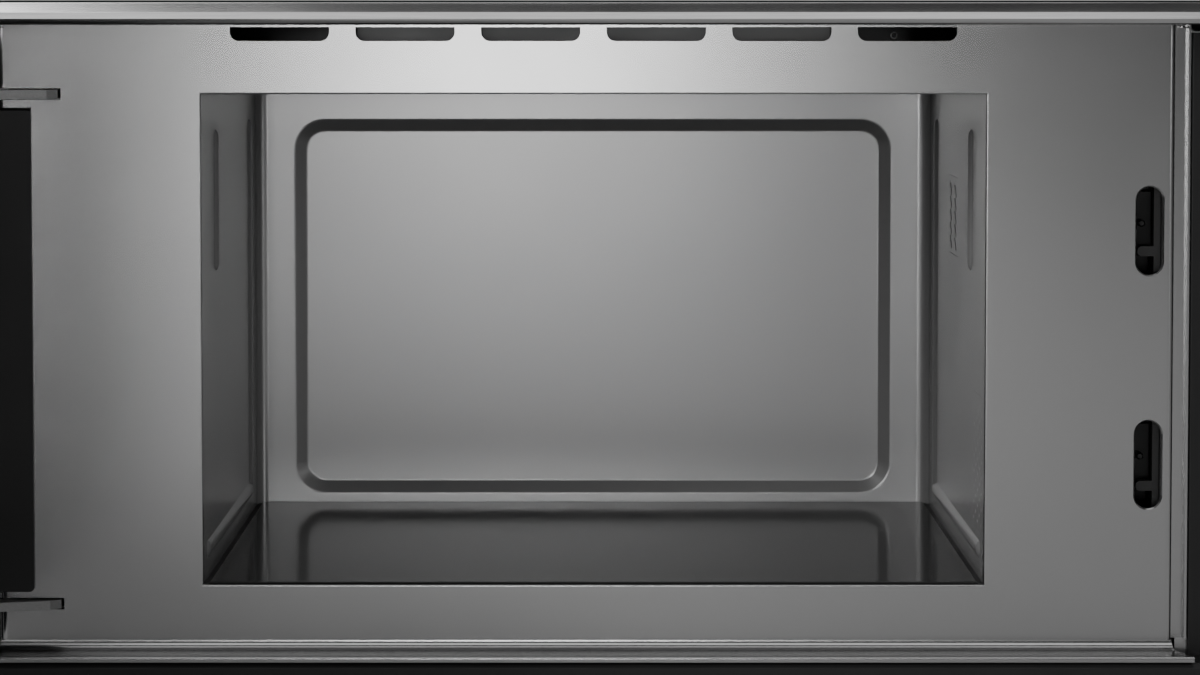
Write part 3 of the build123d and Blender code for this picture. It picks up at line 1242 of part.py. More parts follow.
def door_outer_glass():
    """White-edged outer pane of the door."""
    outline = rect((-HALF_FRONT, HALF_FRONT), (DOOR_BOTTOM, DOOR_TOP), 1.5)
    pane = upright(outline, -FRONT_DEPTH, GLASS_BACK)
    return chamfer(edges_at(pane, -FRONT_DEPTH, lambda p: True), 0.6)


def door_pan():
    """Pressed steel pan: screen in the middle and the choke channel round it."""
    low = DOOR_BOTTOM + WALL
    high = DOOR_TOP - WALL
    rim = -PAN_RIM_TOP
    outer = rect((-PAN_HALF, PAN_HALF), (low, high), 3)
    pan = upright(outer, GLASS_BACK, rim)
    hollow = rect((SHEET - PAN_HALF, PAN_HALF - SHEET), (low + SHEET, high - SHEET), 2)
    pan -= upright(hollow, GLASS_BACK + SHEET, rim + 1)
    wall = rect((-CHOKE_INNER_HALF, CHOKE_INNER_HALF), (CHOKE_BOTTOM, CHOKE_TOP), CHOKE_CORNER)
    inner = rect((SHEET - CHOKE_INNER_HALF, CHOKE_INNER_HALF - SHEET),
                 (CHOKE_BOTTOM + SHEET, CHOKE_TOP - SHEET), CHOKE_CORNER - SHEET)
    seat = DOOR_BACK + 0.5 - INNER_GLASS
    return pan + upright(wall - inner, GLASS_BACK, seat)


def choke_cover():
    """Black frame that closes the choke channel."""
    outer = rect((-PAN_HALF, PAN_HALF), (DOOR_BOTTOM + WALL, DOOR_TOP - WALL), 3)
    gap = CLEARANCE
    inner = rect((-CHOKE_INNER_HALF - gap, CHOKE_INNER_HALF + gap),
                 (CHOKE_BOTTOM - gap, CHOKE_TOP + gap), CHOKE_CORNER)
    cover = upright(outer - inner, -PAN_RIM_TOP, COVER_SHEET - PAN_RIM_TOP)
    rim = edges_at(cover, COVER_SHEET - PAN_RIM_TOP, lambda p: True)
    return chamfer(rim, 0.5)


def door_inner_glass():
    """Clear inner pane that rests on the pan's inner wall."""
    pane = rect((-CHOKE_INNER_HALF, CHOKE_INNER_HALF), (CHOKE_BOTTOM, CHOKE_TOP), CHOKE_CORNER)
    seat = DOOR_BACK + 0.5 - INNER_GLASS
    return upright(pane, seat, seat + INNER_GLASS)


def stile_shell(x_inner, x_outer):
    """Moulded stile: a tray that is open towards the outer glass."""
    z = (DOOR_BOTTOM + WALL, DOOR_TOP - WALL)
    shell = block((x_inner, x_outer), (GLASS_BACK, DOOR_BACK), z)
    s = WALL if x_outer > x_inner else -WALL
    shell -= block((x_inner + s, x_outer - s), (GLASS_BACK - 1, DOOR_BACK - WALL), (z[0] + WALL, z[1] - WALL))
    return shell


def door_stile_hinge():
    """Hinge-side stile with a pocket and two ears for each bracket."""
    outer = STILE_INSET - HALF_FRONT
    inner = -PAN_HALF - 0.5
    stile = stile_shell(inner, outer)
    pocket_end = ARM_ROOT_X + 4
    for arm in ARM_HEIGHTS:
        pocket = (arm - KNUCKLE_GAP, arm + ARM + KNUCKLE_GAP)
        walls = (pocket[0] - WALL, pocket[1] + WALL)
        stile += block((outer, pocket_end + WALL), (GLASS_BACK, DOOR_BACK), walls)
        ears = (pocket[0] - EAR, pocket[1] + EAR)
        stile += block((outer, PIN_X + 6), (GLASS_BACK, PIN_D + 6), ears)
        stile -= block((outer - 1, pocket_end), (GLASS_BACK - 1, DOOR_BACK + 1), pocket)
        stile -= rod(PIN_R + RUNNING, PIN_X, PIN_D, ears[0] - 1, ears[1] + 1)
    return stile


def door_stile_latch():
    """Latch-side stile with slots for the hooks and guides for the latch bar."""
    outer = HALF_FRONT - STILE_INSET
    stile = stile_shell(PAN_HALF + 0.5, outer)
    x = (HOOK_X - HOOK / 2 - HOOK_PLAY, HOOK_X + HOOK / 2 + HOOK_PLAY)
    for centre in HOOK_CENTRES:
        low = centre - HOOK_HEIGHT / 2 - HOOK_NOSE - WALL
        high = centre + HOOK_HEIGHT / 2 + LATCH_TRAVEL + WALL
        stile -= block(x, (DOOR_BACK - WALL - 1, DOOR_BACK + 1), (low, high))
    way_x = (HOOK_X - HOOK / 2 - CLEARANCE, HOOK_X + HOOK / 2 + CLEARANCE)
    way_d = (LATCH_BAR_D[0] - CLEARANCE, LATCH_BAR_D[1] + CLEARANCE)
    low, high = latch_bar_ends()
    ways = ((low - CLEARANCE, low + 2 * GUIDE_LENGTH), (high - 2 * GUIDE_LENGTH, high + LATCH_TRAVEL + CLEARANCE))
    for z, way in zip((low, high), ways):
        guide = block((x[0] - 3, x[1] + 3), (GLASS_BACK, DOOR_BACK - WALL), (z - GUIDE_LENGTH, z + GUIDE_LENGTH))
        stile += guide - block(way_x, way_d, way)
    return stile


def latch_bar_ends():
    """Heights of the lower and upper end of the latch bar."""
    return (HOOK_CENTRES[0] - LATCH_BAR_OVER[0], HOOK_CENTRES[1] + LATCH_BAR_OVER[1])


def latch_bar():
    """Sliding bar in the door with an upper and a lower hook."""
    low, high = latch_bar_ends()
    x = (HOOK_X - HOOK / 2, HOOK_X + HOOK / 2)
    shape = rect(LATCH_BAR_D, (low, high))
    for centre in HOOK_CENTRES:
        half = HOOK_HEIGHT / 2
        root = LATCH_BAR_D[1] - SHEET
        shape += polygon([
            (root, centre - half), (HOOK_REACH - HOOK_NOSE_LENGTH, centre - half),
            (HOOK_REACH - HOOK_NOSE_LENGTH, centre - half - HOOK_NOSE),
            (HOOK_REACH - WALL, centre - half - HOOK_NOSE), (HOOK_REACH, centre - half),
            (HOOK_REACH, centre + half - WALL), (HOOK_REACH - HOOK, centre + half), (root, centre + half),
        ])
    return crosswise(shape, x[0], x[1])


def main():
    os.makedirs("parts", exist_ok=True)
    fixed = {
        "face_plate": face_plate, "side_trim_left": side_trim_left,
        "side_trim_right": side_trim_right, "lower_trim": lower_trim, "top_bar": top_bar,
        "control_glass": control_glass, "control_carrier": control_carrier,
        "control_board": control_board, "ring_base": ring_base, "display_lens": display_lens,
        "control_ring": control_ring, "side_panel_right": side_panel, "top_panel": top_panel,
        "rear_panel": rear_panel, "base_plate": base_plate,
        "cavity_side_left": cavity_side_left, "cavity_side_right": cavity_side_right,
        "cavity_back": cavity_back, "cavity_ceiling": cavity_ceiling, "floor_pan": floor_pan,
        "ceramic_floor": ceramic_floor, "floor_seal": floor_seal, "lamp_housing": lamp_housing,
        "vent_duct": vent_duct, "waveguide": waveguide, "stirrer_motor": stirrer_motor,
        "stirrer_antenna": stirrer_antenna, "magnetron_yoke": magnetron_yoke,
        "magnetron_tube": magnetron_tube, "magnetron_filter": magnetron_filter,
        "fan_frame": fan_frame, "fan_wheel": fan_wheel, "air_duct": air_duct,
        "transformer_core": transformer_core, "hv_capacitor": hv_capacitor,
        "filter_board": filter_board, "terminal_block": terminal_block, "cord_gland": cord_gland,
        "wire_harness": harness, "hinge_cover": hinge_cover, "latch_carrier": latch_carrier,
        "lock_slider": lock_slider, "lock_motor": lock_motor,
    }
    for node, make in fixed.items():
        save(make(), node)
    save(mirrored(side_panel()), "side_panel_left")
    save(switch_plunger(HOOK_CENTRES[0]), "switch_plunger_lower")
    save(switch_plunger(HOOK_CENTRES[1]), "switch_plunger_upper")
    groups = {
        "cavity_screens": cavity_screens(), "transformer_coils": transformer_coils(),
        "hinge_pins": hinge_pins(),
        "hinge_brackets": [hinge_bracket(ARM_HEIGHTS[0], True), hinge_bracket(ARM_HEIGHTS[1], False)],
        "front_rails": [front_rail_left(), front_rail_right()],
        "door_switches": [door_switch(centre) for centre in HOOK_CENTRES],
    }
    for node, pieces in groups.items():
        save(Compound(children=pieces), node)
    door = {
        "door_outer_glass": door_outer_glass, "door_pan": door_pan, "choke_cover": choke_cover,
        "door_inner_glass": door_inner_glass, "door_stile_hinge": door_stile_hinge,
        "door_stile_latch": door_stile_latch, "latch_bar": latch_bar,
    }
    for node, make in door.items():
        save(as_fitted(make()), node)


main()
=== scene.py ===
import json
from math import atan, cos, pi, radians, sin

import bmesh
import bpy
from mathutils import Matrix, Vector


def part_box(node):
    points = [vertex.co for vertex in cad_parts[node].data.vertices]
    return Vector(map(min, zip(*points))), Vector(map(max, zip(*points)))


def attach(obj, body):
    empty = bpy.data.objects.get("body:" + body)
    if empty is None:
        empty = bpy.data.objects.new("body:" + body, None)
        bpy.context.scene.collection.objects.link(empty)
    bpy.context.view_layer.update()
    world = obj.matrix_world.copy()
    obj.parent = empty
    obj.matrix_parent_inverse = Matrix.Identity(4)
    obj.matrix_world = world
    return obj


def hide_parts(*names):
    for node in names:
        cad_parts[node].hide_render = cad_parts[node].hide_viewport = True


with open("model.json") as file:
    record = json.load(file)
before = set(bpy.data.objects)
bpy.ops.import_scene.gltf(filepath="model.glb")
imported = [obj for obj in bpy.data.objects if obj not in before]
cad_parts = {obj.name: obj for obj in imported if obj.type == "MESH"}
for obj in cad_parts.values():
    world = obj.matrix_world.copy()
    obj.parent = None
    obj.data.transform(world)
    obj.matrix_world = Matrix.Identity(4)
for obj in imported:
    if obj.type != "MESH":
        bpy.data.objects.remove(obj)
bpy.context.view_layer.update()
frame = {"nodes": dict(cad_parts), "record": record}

# The photograph's frame and vanishing point, in pixels, and where its camera stood, in metres.
# Only part of its drop is a shift, and a slight tilt gives the rest, so that the other
# views keep more of the appliance in their frame.
PHOTO = (1200, 675)
VANISHING_POINT = (589, 11)
SHIFT_DOWN = 150
FOCAL_PIXELS = 3502
SENSOR_WIDTH = 36.0
CAMERA_PLACE = (-0.002, -1.709, 0.296)

MM = 0.001


# Shader nodes

class Nodes:
    """A short way to build one material's node tree."""

    def __init__(self, name):
        self.material = bpy.data.materials.new(name)
        self.material.use_nodes = True
        self.tree = self.material.node_tree
        self.tree.nodes.clear()
        self.output = self.add("ShaderNodeOutputMaterial")
        self.shader = self.add("ShaderNodeBsdfPrincipled")
        self.link(self.shader, "BSDF", self.output, "Surface")
        self.place = self.add("ShaderNodeTexCoord")

    def add(self, kind, **settings):
        node = self.tree.nodes.new(kind)
        for key, value in settings.items():
            setattr(node, key, value)
        return node

    def link(self, source, out, target, into):
        self.tree.links.new(source.outputs[out], target.inputs[into])

    def set(self, **values):
        for key, value in values.items():
            self.shader.inputs[key.replace("_", " ")].default_value = value

    def noise(self, scale, stretch=(1, 1, 1), detail=2.0, rough=0.5):
        """Noise in the part's own coordinates, stretched along its axes."""
        mapping = self.add("ShaderNodeMapping")
        mapping.inputs["Scale"].default_value = stretch
        self.link(self.place, "Object", mapping, "Vector")
        noise = self.add("ShaderNodeTexNoise")
        noise.inputs["Scale"].default_value = scale
        noise.inputs["Detail"].default_value = detail
        noise.inputs["Roughness"].default_value = rough
        self.link(mapping, "Vector", noise, "Vector")
        return noise

    def ramp(self, source, out, low, high, start=0.3, end=0.7):
        """Map a factor onto a range between two greys or numbers."""
        ramp = self.add("ShaderNodeMapRange")
        ramp.inputs["From Min"].default_value = start
        ramp.inputs["From Max"].default_value = end
        ramp.inputs["To Min"].default_value = low
        ramp.inputs["To Max"].default_value = high
        self.link(source, out, ramp, "Value")
        return ramp

    def tint(self, source, out, first, second, start=0.3, end=0.7):
        """Mix two colours by a factor."""
        ramp = self.add("ShaderNodeValToRGB")
        ramp.color_ramp.elements[0].position = start
        ramp.color_ramp.elements[1].position = end
        ramp.color_ramp.elements[0].color = (*first, 1)
        ramp.color_ramp.elements[1].color = (*second, 1)
        self.link(source, out, ramp, "Fac")
        self.link(ramp, "Color", self.shader, "Base Color")
        return ramp

    def bump(self, source, out, distance, strength=1.0):
        """Raise the surface by a factor."""
        bump = self.add("ShaderNodeBump")
        bump.inputs["Distance"].default_value = distance
        bump.inputs["Strength"].default_value = strength
        self.link(source, out, bump, "Height")
        self.link(bump, "Normal", self.shader, "Normal")
        return bump


def grey(value, warm=0.0):
    """A neutral colour with a slight warmth."""
    return (value + warm, value, value - warm)


def painted(name, value, rough, grain, spread=0.06, gloss=0.5):
    """Paint, enamel or plastic: mottled colour, varying gloss and a fine grain."""
    n = Nodes(name)
    cloud = n.noise(18.0, detail=3.0)
    fine = n.noise(1 / grain, detail=1.0)
    n.tint(cloud, "Fac", grey(value * (1 - spread)), grey(value * (1 + spread)))
    sheen = n.ramp(n.noise(45.0), "Fac", rough * 0.9, rough * 1.1)
    n.link(sheen, "Result", n.shader, "Roughness")
    n.bump(fine, "Fac", grain * 0.02)
    n.set(Specular_IOR_Level=gloss)
    return n.material


def satin(name, value, rough, metallic=1.0):
    """Blasted sheet metal: an even sheen with the faintest cloud in it."""
    n = Nodes(name)
    n.tint(n.noise(7.0, detail=1.0), "Fac", grey(value * 0.99), grey(value * 1.01))
    gloss = n.ramp(n.noise(30.0), "Fac", rough * 0.985, rough * 1.015)
    n.link(gloss, "Result", n.shader, "Roughness")
    n.set(Metallic=metallic)
    return n.material


def brushed(name, value, rough, along, spread=0.08, depth=1e-5):
    """Metal with fine lines along one axis."""
    n = Nodes(name)
    stretch = [1.0, 1.0, 1.0]
    stretch["XYZ".index(along)] = 0.02
    lines = n.noise(1400.0, stretch, detail=3.0, rough=0.7)
    cloud = n.noise(9.0)
    n.tint(lines, "Fac", grey(value * (1 - spread)), grey(value * (1 + spread)))
    gloss = n.ramp(cloud, "Fac", rough * 0.85, rough * 1.15)
    n.link(gloss, "Result", n.shader, "Roughness")
    n.bump(lines, "Fac", depth)
    n.set(Metallic=1.0)
    return n.material


def zinc(name, value, rough):
    """Zinc-coated sheet with its large soft crystals."""
    n = Nodes(name)
    cells = n.add("ShaderNodeTexVoronoi")
    cells.inputs["Scale"].default_value = 90.0
    n.link(n.place, "Object", cells, "Vector")
    spread = n.ramp(cells, "Color", rough * 0.92, rough * 1.08, 0.0, 1.0)
    n.link(spread, "Result", n.shader, "Roughness")
    n.tint(cells, "Color", grey(value * 0.97), grey(value * 1.03), 0.0, 1.0)
    n.set(Metallic=1.0)
    return n.material


def glass_print(name, value, rough=0.04):
    """Float glass printed on its back: a glossy coat over a flat colour."""
    n = Nodes(name)
    cloud = n.noise(12.0)
    n.tint(cloud, "Fac", grey(value * 0.985), grey(value * 1.01))
    wave = n.ramp(n.noise(3.0), "Fac", rough * 0.9, rough * 1.1)
    n.link(wave, "Result", n.shader, "Roughness")
    n.set(Coat_Weight=1.0, Coat_Roughness=0.02, IOR=1.5)
    return n.material


def clear_glass(name, value, alpha):
    """Thin clear glass: mostly see-through with a glossy face."""
    n = Nodes(name)
    cloud = n.noise(10.0)
    n.tint(cloud, "Fac", grey(value), grey(value * 1.05))
    wave = n.ramp(n.noise(3.0), "Fac", 0.03, 0.05)
    n.link(wave, "Result", n.shader, "Roughness")
    n.set(Alpha=alpha, IOR=1.5)
    return n.material


MATERIALS = {
    "plate_steel": satin("plate_satin", 0.32, 0.22),
    "cavity_enamel": satin("cavity_enamel", 0.33, 0.26, metallic=0.5),
    "floor_ceramic": painted("floor_ceramic", 0.012, 0.12, 0.0005, 0.08, gloss=0.1),
    "seal_rubber": painted("seal_silicone", 0.012, 0.5, 0.0005),
    "black_plastic": painted("black_plastic", 0.01, 0.4, 0.0007, 0.1, gloss=0.22),
    "bar_metal": brushed("bar_metal", 0.35, 0.2, "X", depth=2e-6),
    "ring_metal": brushed("ring_metal", 0.45, 0.24, "Z"),
    "white_glass": glass_print("white_glass", 0.86),
    "clear_glass": clear_glass("inner_pane", 0.5, 0.3),
    "lens_plastic": glass_print("display_lens", 0.008),
    "case_steel": zinc("case_zinc", 0.42, 0.36),
    "door_pan_steel": painted("door_pan_enamel", 0.02, 0.35, 0.0008),
    "hinge_steel": brushed("hinge_steel", 0.24, 0.34, "Y"),
    "source_steel": zinc("source_steel", 0.45, 0.3),
    "tube_aluminium": brushed("tube_aluminium", 0.7, 0.3, "Y"),
    "grey_plastic": painted("grey_plastic", 0.07, 0.45, 0.0009),
    "white_plastic": painted("white_plastic", 0.7, 0.4, 0.0009, 0.03),
    "core_iron": painted("core_varnish", 0.035, 0.4, 0.0004, 0.2),
    "winding_copper": brushed("winding_copper", 0.3, 0.35, "X"),
    "board_laminate": painted("board_laminate", 0.05, 0.35, 0.0006),
    "wire_insulation": painted("wire_sleeve", 0.02, 0.5, 0.001, 0.2),
}
# Pieces in the latch chambers and the air duct, given near-black colours as painted shade for the dark
# hollows they stand in, and the black trim below the plate, which is black by its own colour
OWN_MATERIALS = {
    "latch_carrier": painted("latch_housing", 0.004, 0.5, 0.0007),
    # The slider's near-black is painted shade from the latch chamber, not a coating.
    "lock_slider": painted("lock_slider_painted_shade", 0.006, 0.45, 0.0006),
    "lock_motor": painted("lock_drive", 0.01, 0.5, 0.0007),
    "door_switches": painted("switch_body", 0.005, 0.5, 0.0007),
    "switch_plunger_upper": painted("switch_pin_upper", 0.01, 0.4, 0.0007),
    "switch_plunger_lower": painted("switch_pin_lower", 0.01, 0.4, 0.0007),
    # The duct's dark zinc is painted shade behind the notches.
    "vent_duct": zinc("duct_zinc", 0.1, 0.45),
    "lower_trim": painted("lower_trim", 0.012, 0.35, 0.0007, 0.1, gloss=0.25),
}
SLOT_OF = {entry["node"]: entry["material_slot"] for entry in frame["record"]["subparts"]}


def dress_nodes():
    """Give every CAD node its own material, or else that of its slot."""
    for node, thing in frame["nodes"].items():
        material = OWN_MATERIALS.get(node) or MATERIALS[SLOT_OF[node]]
        for place in thing.material_slots:
            place.material = material


# Pieces added to the CAD nodes. Places are (x, depth, z) in millimetres. Depth is 0 at the
# front of the face plate and grows towards the wall.

PLATE_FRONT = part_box("hinge_cover")[1].y / MM
BODY_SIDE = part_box("side_panel_right")[1].x / MM
BODY_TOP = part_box("top_panel")[1].z / MM
BAR_LOW, BAR_HIGH = (corner.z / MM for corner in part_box("top_bar"))
BAR_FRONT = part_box("top_bar")[0].y / MM - PLATE_FRONT
BAR_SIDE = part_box("top_bar")[1].x / MM
TRIM_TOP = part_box("side_trim_right")[1].z / MM
TRIM_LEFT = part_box("side_trim_right")[0].x / MM
DUCT_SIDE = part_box("vent_duct")[1].x / MM
DUCT_LOW, DUCT_HIGH = (corner.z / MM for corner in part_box("vent_duct"))
KNOB_LOW, KNOB_HIGH = (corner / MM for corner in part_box("control_ring"))
KNOB_X = (KNOB_LOW.x + KNOB_HIGH.x) / 2
KNOB_Z = (KNOB_LOW.z + KNOB_HIGH.z) / 2
KNOB_RADIUS = (KNOB_HIGH.z - KNOB_LOW.z) / 2
KNOB_FRONT = KNOB_LOW.y - PLATE_FRONT
KNOB_BACK = KNOB_HIGH.y - PLATE_FRONT
LENS_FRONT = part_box("display_lens")[0].y / MM - PLATE_FRONT


def spot(x, depth, z):
    """A place in the frame, in metres."""
    return Vector((x, PLATE_FRONT + depth, z)) * MM


def add_piece(name, shape, material, body="case", smooth=True):
    """Turn a bmesh into a piece that rides on a body."""
    bmesh.ops.recalc_face_normals(shape, faces=shape.faces)
    mesh = bpy.data.meshes.new(name)
    shape.to_mesh(mesh)
    shape.free()
    mesh.materials.append(material)
    for face in mesh.polygons:
        face.use_smooth = smooth
    if smooth:
        mesh.set_sharp_from_angle(angle=radians(38))
    thing = bpy.data.objects.new(name, mesh)
    bpy.context.collection.objects.link(thing)
    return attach(thing, body)


def skin(shape, rings):
    """Join closed rings of points into one surface."""
    rows = [[shape.verts.new(point) for point in ring] for ring in rings]
    count = len(rings[0])
    for lower, upper in zip(rows, rows[1:]):
        for k in range(count):
            after = (k + 1) % count
            shape.faces.new((lower[k], lower[after], upper[after], upper[k]))
    return rows


def capped(shape, rings):
    """Join rings of points and close both ends."""
    rows = skin(shape, rings)
    shape.faces.new(rows[0])
    shape.faces.new(rows[-1])


def arc(centre, radius, start, end, steps):
    """Points of an arc in a plane, by angles in degrees."""
    turns = [radians(start + (end - start) * k / steps) for k in range(steps + 1)]
    return [(centre[0] + radius * cos(a), centre[1] + radius * sin(a)) for a in turns]


# Screws

SCREW_PROFILE = ((1.0, 0.0), (1.0, 0.35), (0.93, 0.66), (0.76, 0.9), (0.56, 1.0))
CROSS_ARM = 0.46
CROSS_HALF_WIDTH = 0.12
SCREW_SIDES = 40
SCREW_RADIUS = 3.4
SCREW_HEIGHT = 1.8
SCREW_DEPTHS = (26, 118, 206, 284)


def cross_radius(angle):
    """How far the cross recess reaches at an angle, as a share of the head's radius."""
    c, s = abs(cos(angle)), abs(sin(angle))
    return min(CROSS_ARM / max(c, s), CROSS_HALF_WIDTH / max(min(c, s), 0.001))


def screw_heads(name, places, facing, material):
    """Pan heads with a cross recess at several places, made as one piece."""
    shape = bmesh.new()
    turn = Vector((0, 0, 1)).rotation_difference(Vector(facing)).to_matrix()
    angles = [2 * pi * (k + 0.5) / SCREW_SIDES for k in range(SCREW_SIDES)]
    tall = SCREW_HEIGHT / SCREW_RADIUS
    rings = []
    for reach, rise in SCREW_PROFILE:
        rings.append([(reach * cos(a), reach * sin(a), rise * tall) for a in angles])
    for share, rise in ((1.0, 1.0), (0.82, 0.3)):
        reaches = [share * cross_radius(a) for a in angles]
        rings.append([(r * cos(a), r * sin(a), rise * tall) for r, a in zip(reaches, angles)])
    turned = [[turn @ Vector(point) * SCREW_RADIUS * MM for point in ring] for ring in rings]
    for place in places:
        moved = [[spot(*place) + point for point in ring] for ring in turned]
        shape.faces.new(skin(shape, moved)[-1])
    return add_piece(name, shape, material)


def case_screws():
    """Screws that hold the sheet case together, on its sides and top."""
    zinc_head = brushed("screw_zinc", 0.4, 0.3, "Z")
    for side, name in ((-1, "left"), (1, "right")):
        places = [(side * BODY_SIDE, depth, 10) for depth in SCREW_DEPTHS]
        places += [(side * BODY_SIDE, depth, BODY_TOP - 7) for depth in (26, 150, 284)]
        screw_heads(f"side_screws_{name}", places, (side, 0, 0), zinc_head)
    top = [(x, depth, BODY_TOP) for x in (-262, 262) for depth in (60, 200)]
    screw_heads("top_screws", top, (0, 0, 1), zinc_head)


# Front bar

def swept(name, outline, x_from, x_to, material, end_round):
    """Sweep a (depth, z) outline along x, with ends drawn in a little to catch the light."""
    shape = bmesh.new()
    mid_d = sum(d for d, z in outline) / len(outline)
    mid_z = sum(z for d, z in outline) / len(outline)
    stations = [(x_from, 0.96), (x_from + end_round, 1.0), (x_to - end_round, 1.0), (x_to, 0.96)]
    rings = []
    for x, share in stations:
        ring = [(mid_d + share * (d - mid_d), mid_z + share * (z - mid_z)) for d, z in outline]
        rings.append([spot(x, d, z) for d, z in ring])
    capped(shape, rings)
    return add_piece(name, shape, material)


def front_bar():
    """The bar's pressed profile: a leaning facet between an upright top and a rounded underside."""
    front = BAR_FRONT + 0.15
    facet_top = BAR_HIGH - 4.4
    facet_bottom = BAR_HIGH - 7.4
    outline = [(-0.2, BAR_HIGH), (front + 1.5, BAR_HIGH)]
    outline += arc((front + 1.5, BAR_HIGH - 0.6), 0.6, 90, 180, 4)
    outline += [(front + 1.1, facet_top), (front + 0.9, facet_top - 0.4), (front, facet_bottom)]
    outline += arc((front + 2.6, facet_bottom), 2.6, 180, 262, 8)
    outline += [(-0.2, BAR_LOW)]
    piece = swept("bar_profile", outline, -BAR_SIDE, BAR_SIDE, MATERIALS["bar_metal"], 0.5)
    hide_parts("top_bar")


def corner_lips():
    """Thin folded edge under the bar that steps down to the side trim, with a near-black strip behind it as
    painted shadow behind the lip.
    """
    steel = MATERIALS["plate_steel"]
    # A near-black strip behind the lip, painted shadow under the folded edge.
    lip_shadow = painted("lip_shadow_strip", 0.004, 0.7, 0.0009, 0.2, gloss=0.1)
    high = BAR_LOW - 1.2
    low = TRIM_TOP + 0.5
    front = -0.6
    thick = 0.45
    for side, name in ((-1, "left"), (1, "right")):
        start = TRIM_LEFT - 5.0
        path = [(start, high), (TRIM_LEFT - 2.6, high)]
        path += arc((TRIM_LEFT - 2.6, high - 1.0), 1.0, 90, 45, 3)
        path += arc((TRIM_LEFT + 1.2, low + 1.0), 1.0, 225, 270, 3)
        path += [(BAR_SIDE - 0.4, low)]
        shape = bmesh.new()
        rings = []
        for x, z in path:
            section = ((front, z), (front - 0.3, z + thick / 2), (front, z + thick))
            section += ((4.0, z + thick), (4.0, z))
            rings.append([spot(side * x, d, up) for d, up in section])
        capped(shape, rings)
        add_piece(f"corner_lip_{name}", shape, steel)
        under, bulge = low + thick, low + 1.4
        strip = [(2.2, under), (1.6, bulge), (2.2, BAR_LOW)]
        strip += [(6.4, BAR_LOW), (6.8, bulge), (6.4, under)]
        ends = sorted((side * TRIM_LEFT, side * (BAR_SIDE - 0.6)))
        swept(f"lip_shadow_strip_{name}", strip, ends[0], ends[1], lip_shadow, 0.6)


# Air duct behind the notches

BAFFLE_SIDE = 106.0
BAFFLE_DEPTH = 14.5
CHEEK_STEPS = 14
CHEEK_FALL = 22.0


def cheek_place(share):
    """Where a cheek stands, as (x, depth), at a share of its way out."""
    reach = DUCT_SIDE - 3 - BAFFLE_SIDE
    return (BAFFLE_SIDE + reach * share, BAFFLE_DEPTH + CHEEK_FALL * share ** 2)


def duct_cheeks():
    """Curved sheets that turn the air out of the end notches, one with an eyelet."""
    # The cheeks' dark zinc is painted shade inside the duct.
    dark = zinc("cheek_zinc_painted_shade", 0.06, 0.5)
    low, high = DUCT_LOW + 8, DUCT_HIGH - 1.4
    for side, name in ((-1, "left"), (1, "right")):
        shape = bmesh.new()
        rings = []
        for k in range(CHEEK_STEPS + 1):
            x, depth = cheek_place(k / CHEEK_STEPS)
            section = ((depth, low), (depth, high), (depth + 1.0, high), (depth + 1.0, low))
            rings.append([spot(side * x, d, z) for d, z in section])
        capped(shape, rings)
        add_piece(f"duct_cheek_{name}", shape, dark)
    x, depth = cheek_place(0.5)
    eyelet = brushed("eyelet_steel", 0.3, 0.3, "Z")
    ring_piece("duct_eyelet", spot(x, depth - 0.3, 285.0), (0.35, -1, 0), 1.4, 0.35, eyelet)


def ring_piece(name, place, facing, radius, thick, material):
    """A small ring with a round section."""
    shape = bmesh.new()
    turn = Vector((0, 0, 1)).rotation_difference(Vector(facing).normalized()).to_matrix()
    steps, sides = 28, 10
    rings = []
    for k in range(steps):
        a = 2 * pi * k / steps
        ring = []
        for m in range(sides):
            b = 2 * pi * m / sides
            reach = radius + thick * cos(b)
            ring.append(place + turn @ Vector((reach * cos(a), reach * sin(a), thick * sin(b))) * MM)
        rings.append(ring)
    rows = skin(shape, rings)
    for k in range(sides):
        after = (k + 1) % sides
        shape.faces.new((rows[-1][k], rows[-1][after], rows[0][after], rows[0][k]))
    return add_piece(name, shape, material)


# Control ring and display

GRIP_TEETH = 90
TOOTH_HEIGHT = 0.32
TOOTH_ROOT = 0.04
DIGIT_HALF_WIDE = 2.1
DIGIT_HALF_HIGH = 2.2
STROKE = 0.42
DOT = 0.5
SEGMENTS = {
    "top": (-1, 2, 1, 2), "middle": (-1, 0, 1, 0), "bottom": (-1, -2, 1, -2),
    "high_left": (-1, 0, -1, 2), "high_right": (1, 0, 1, 2),
    "low_left": (-1, -2, -1, 0), "low_right": (1, -2, 1, 0),
}
DIGITS = {
    0: ("top", "bottom", "high_left", "high_right", "low_left", "low_right"),
    1: ("high_right", "low_right"),
    2: ("top", "middle", "bottom", "high_right", "low_left"),
    3: ("top", "middle", "bottom", "high_right", "low_right"),
}


def block(shape, low, high):
    """A small block between two corners, with its front edges drawn in."""
    draw = 0.06
    rings = []
    for depth, inset in ((high[1], 0.0), (low[1] + draw, 0.0), (low[1], draw)):
        left, right = low[0] + inset, high[0] - inset
        down, up = low[2] + inset, high[2] - inset
        rings.append([spot(x, depth, z) for x, z in ((left, down), (right, down), (right, up), (left, up))])
    capped(shape, rings)


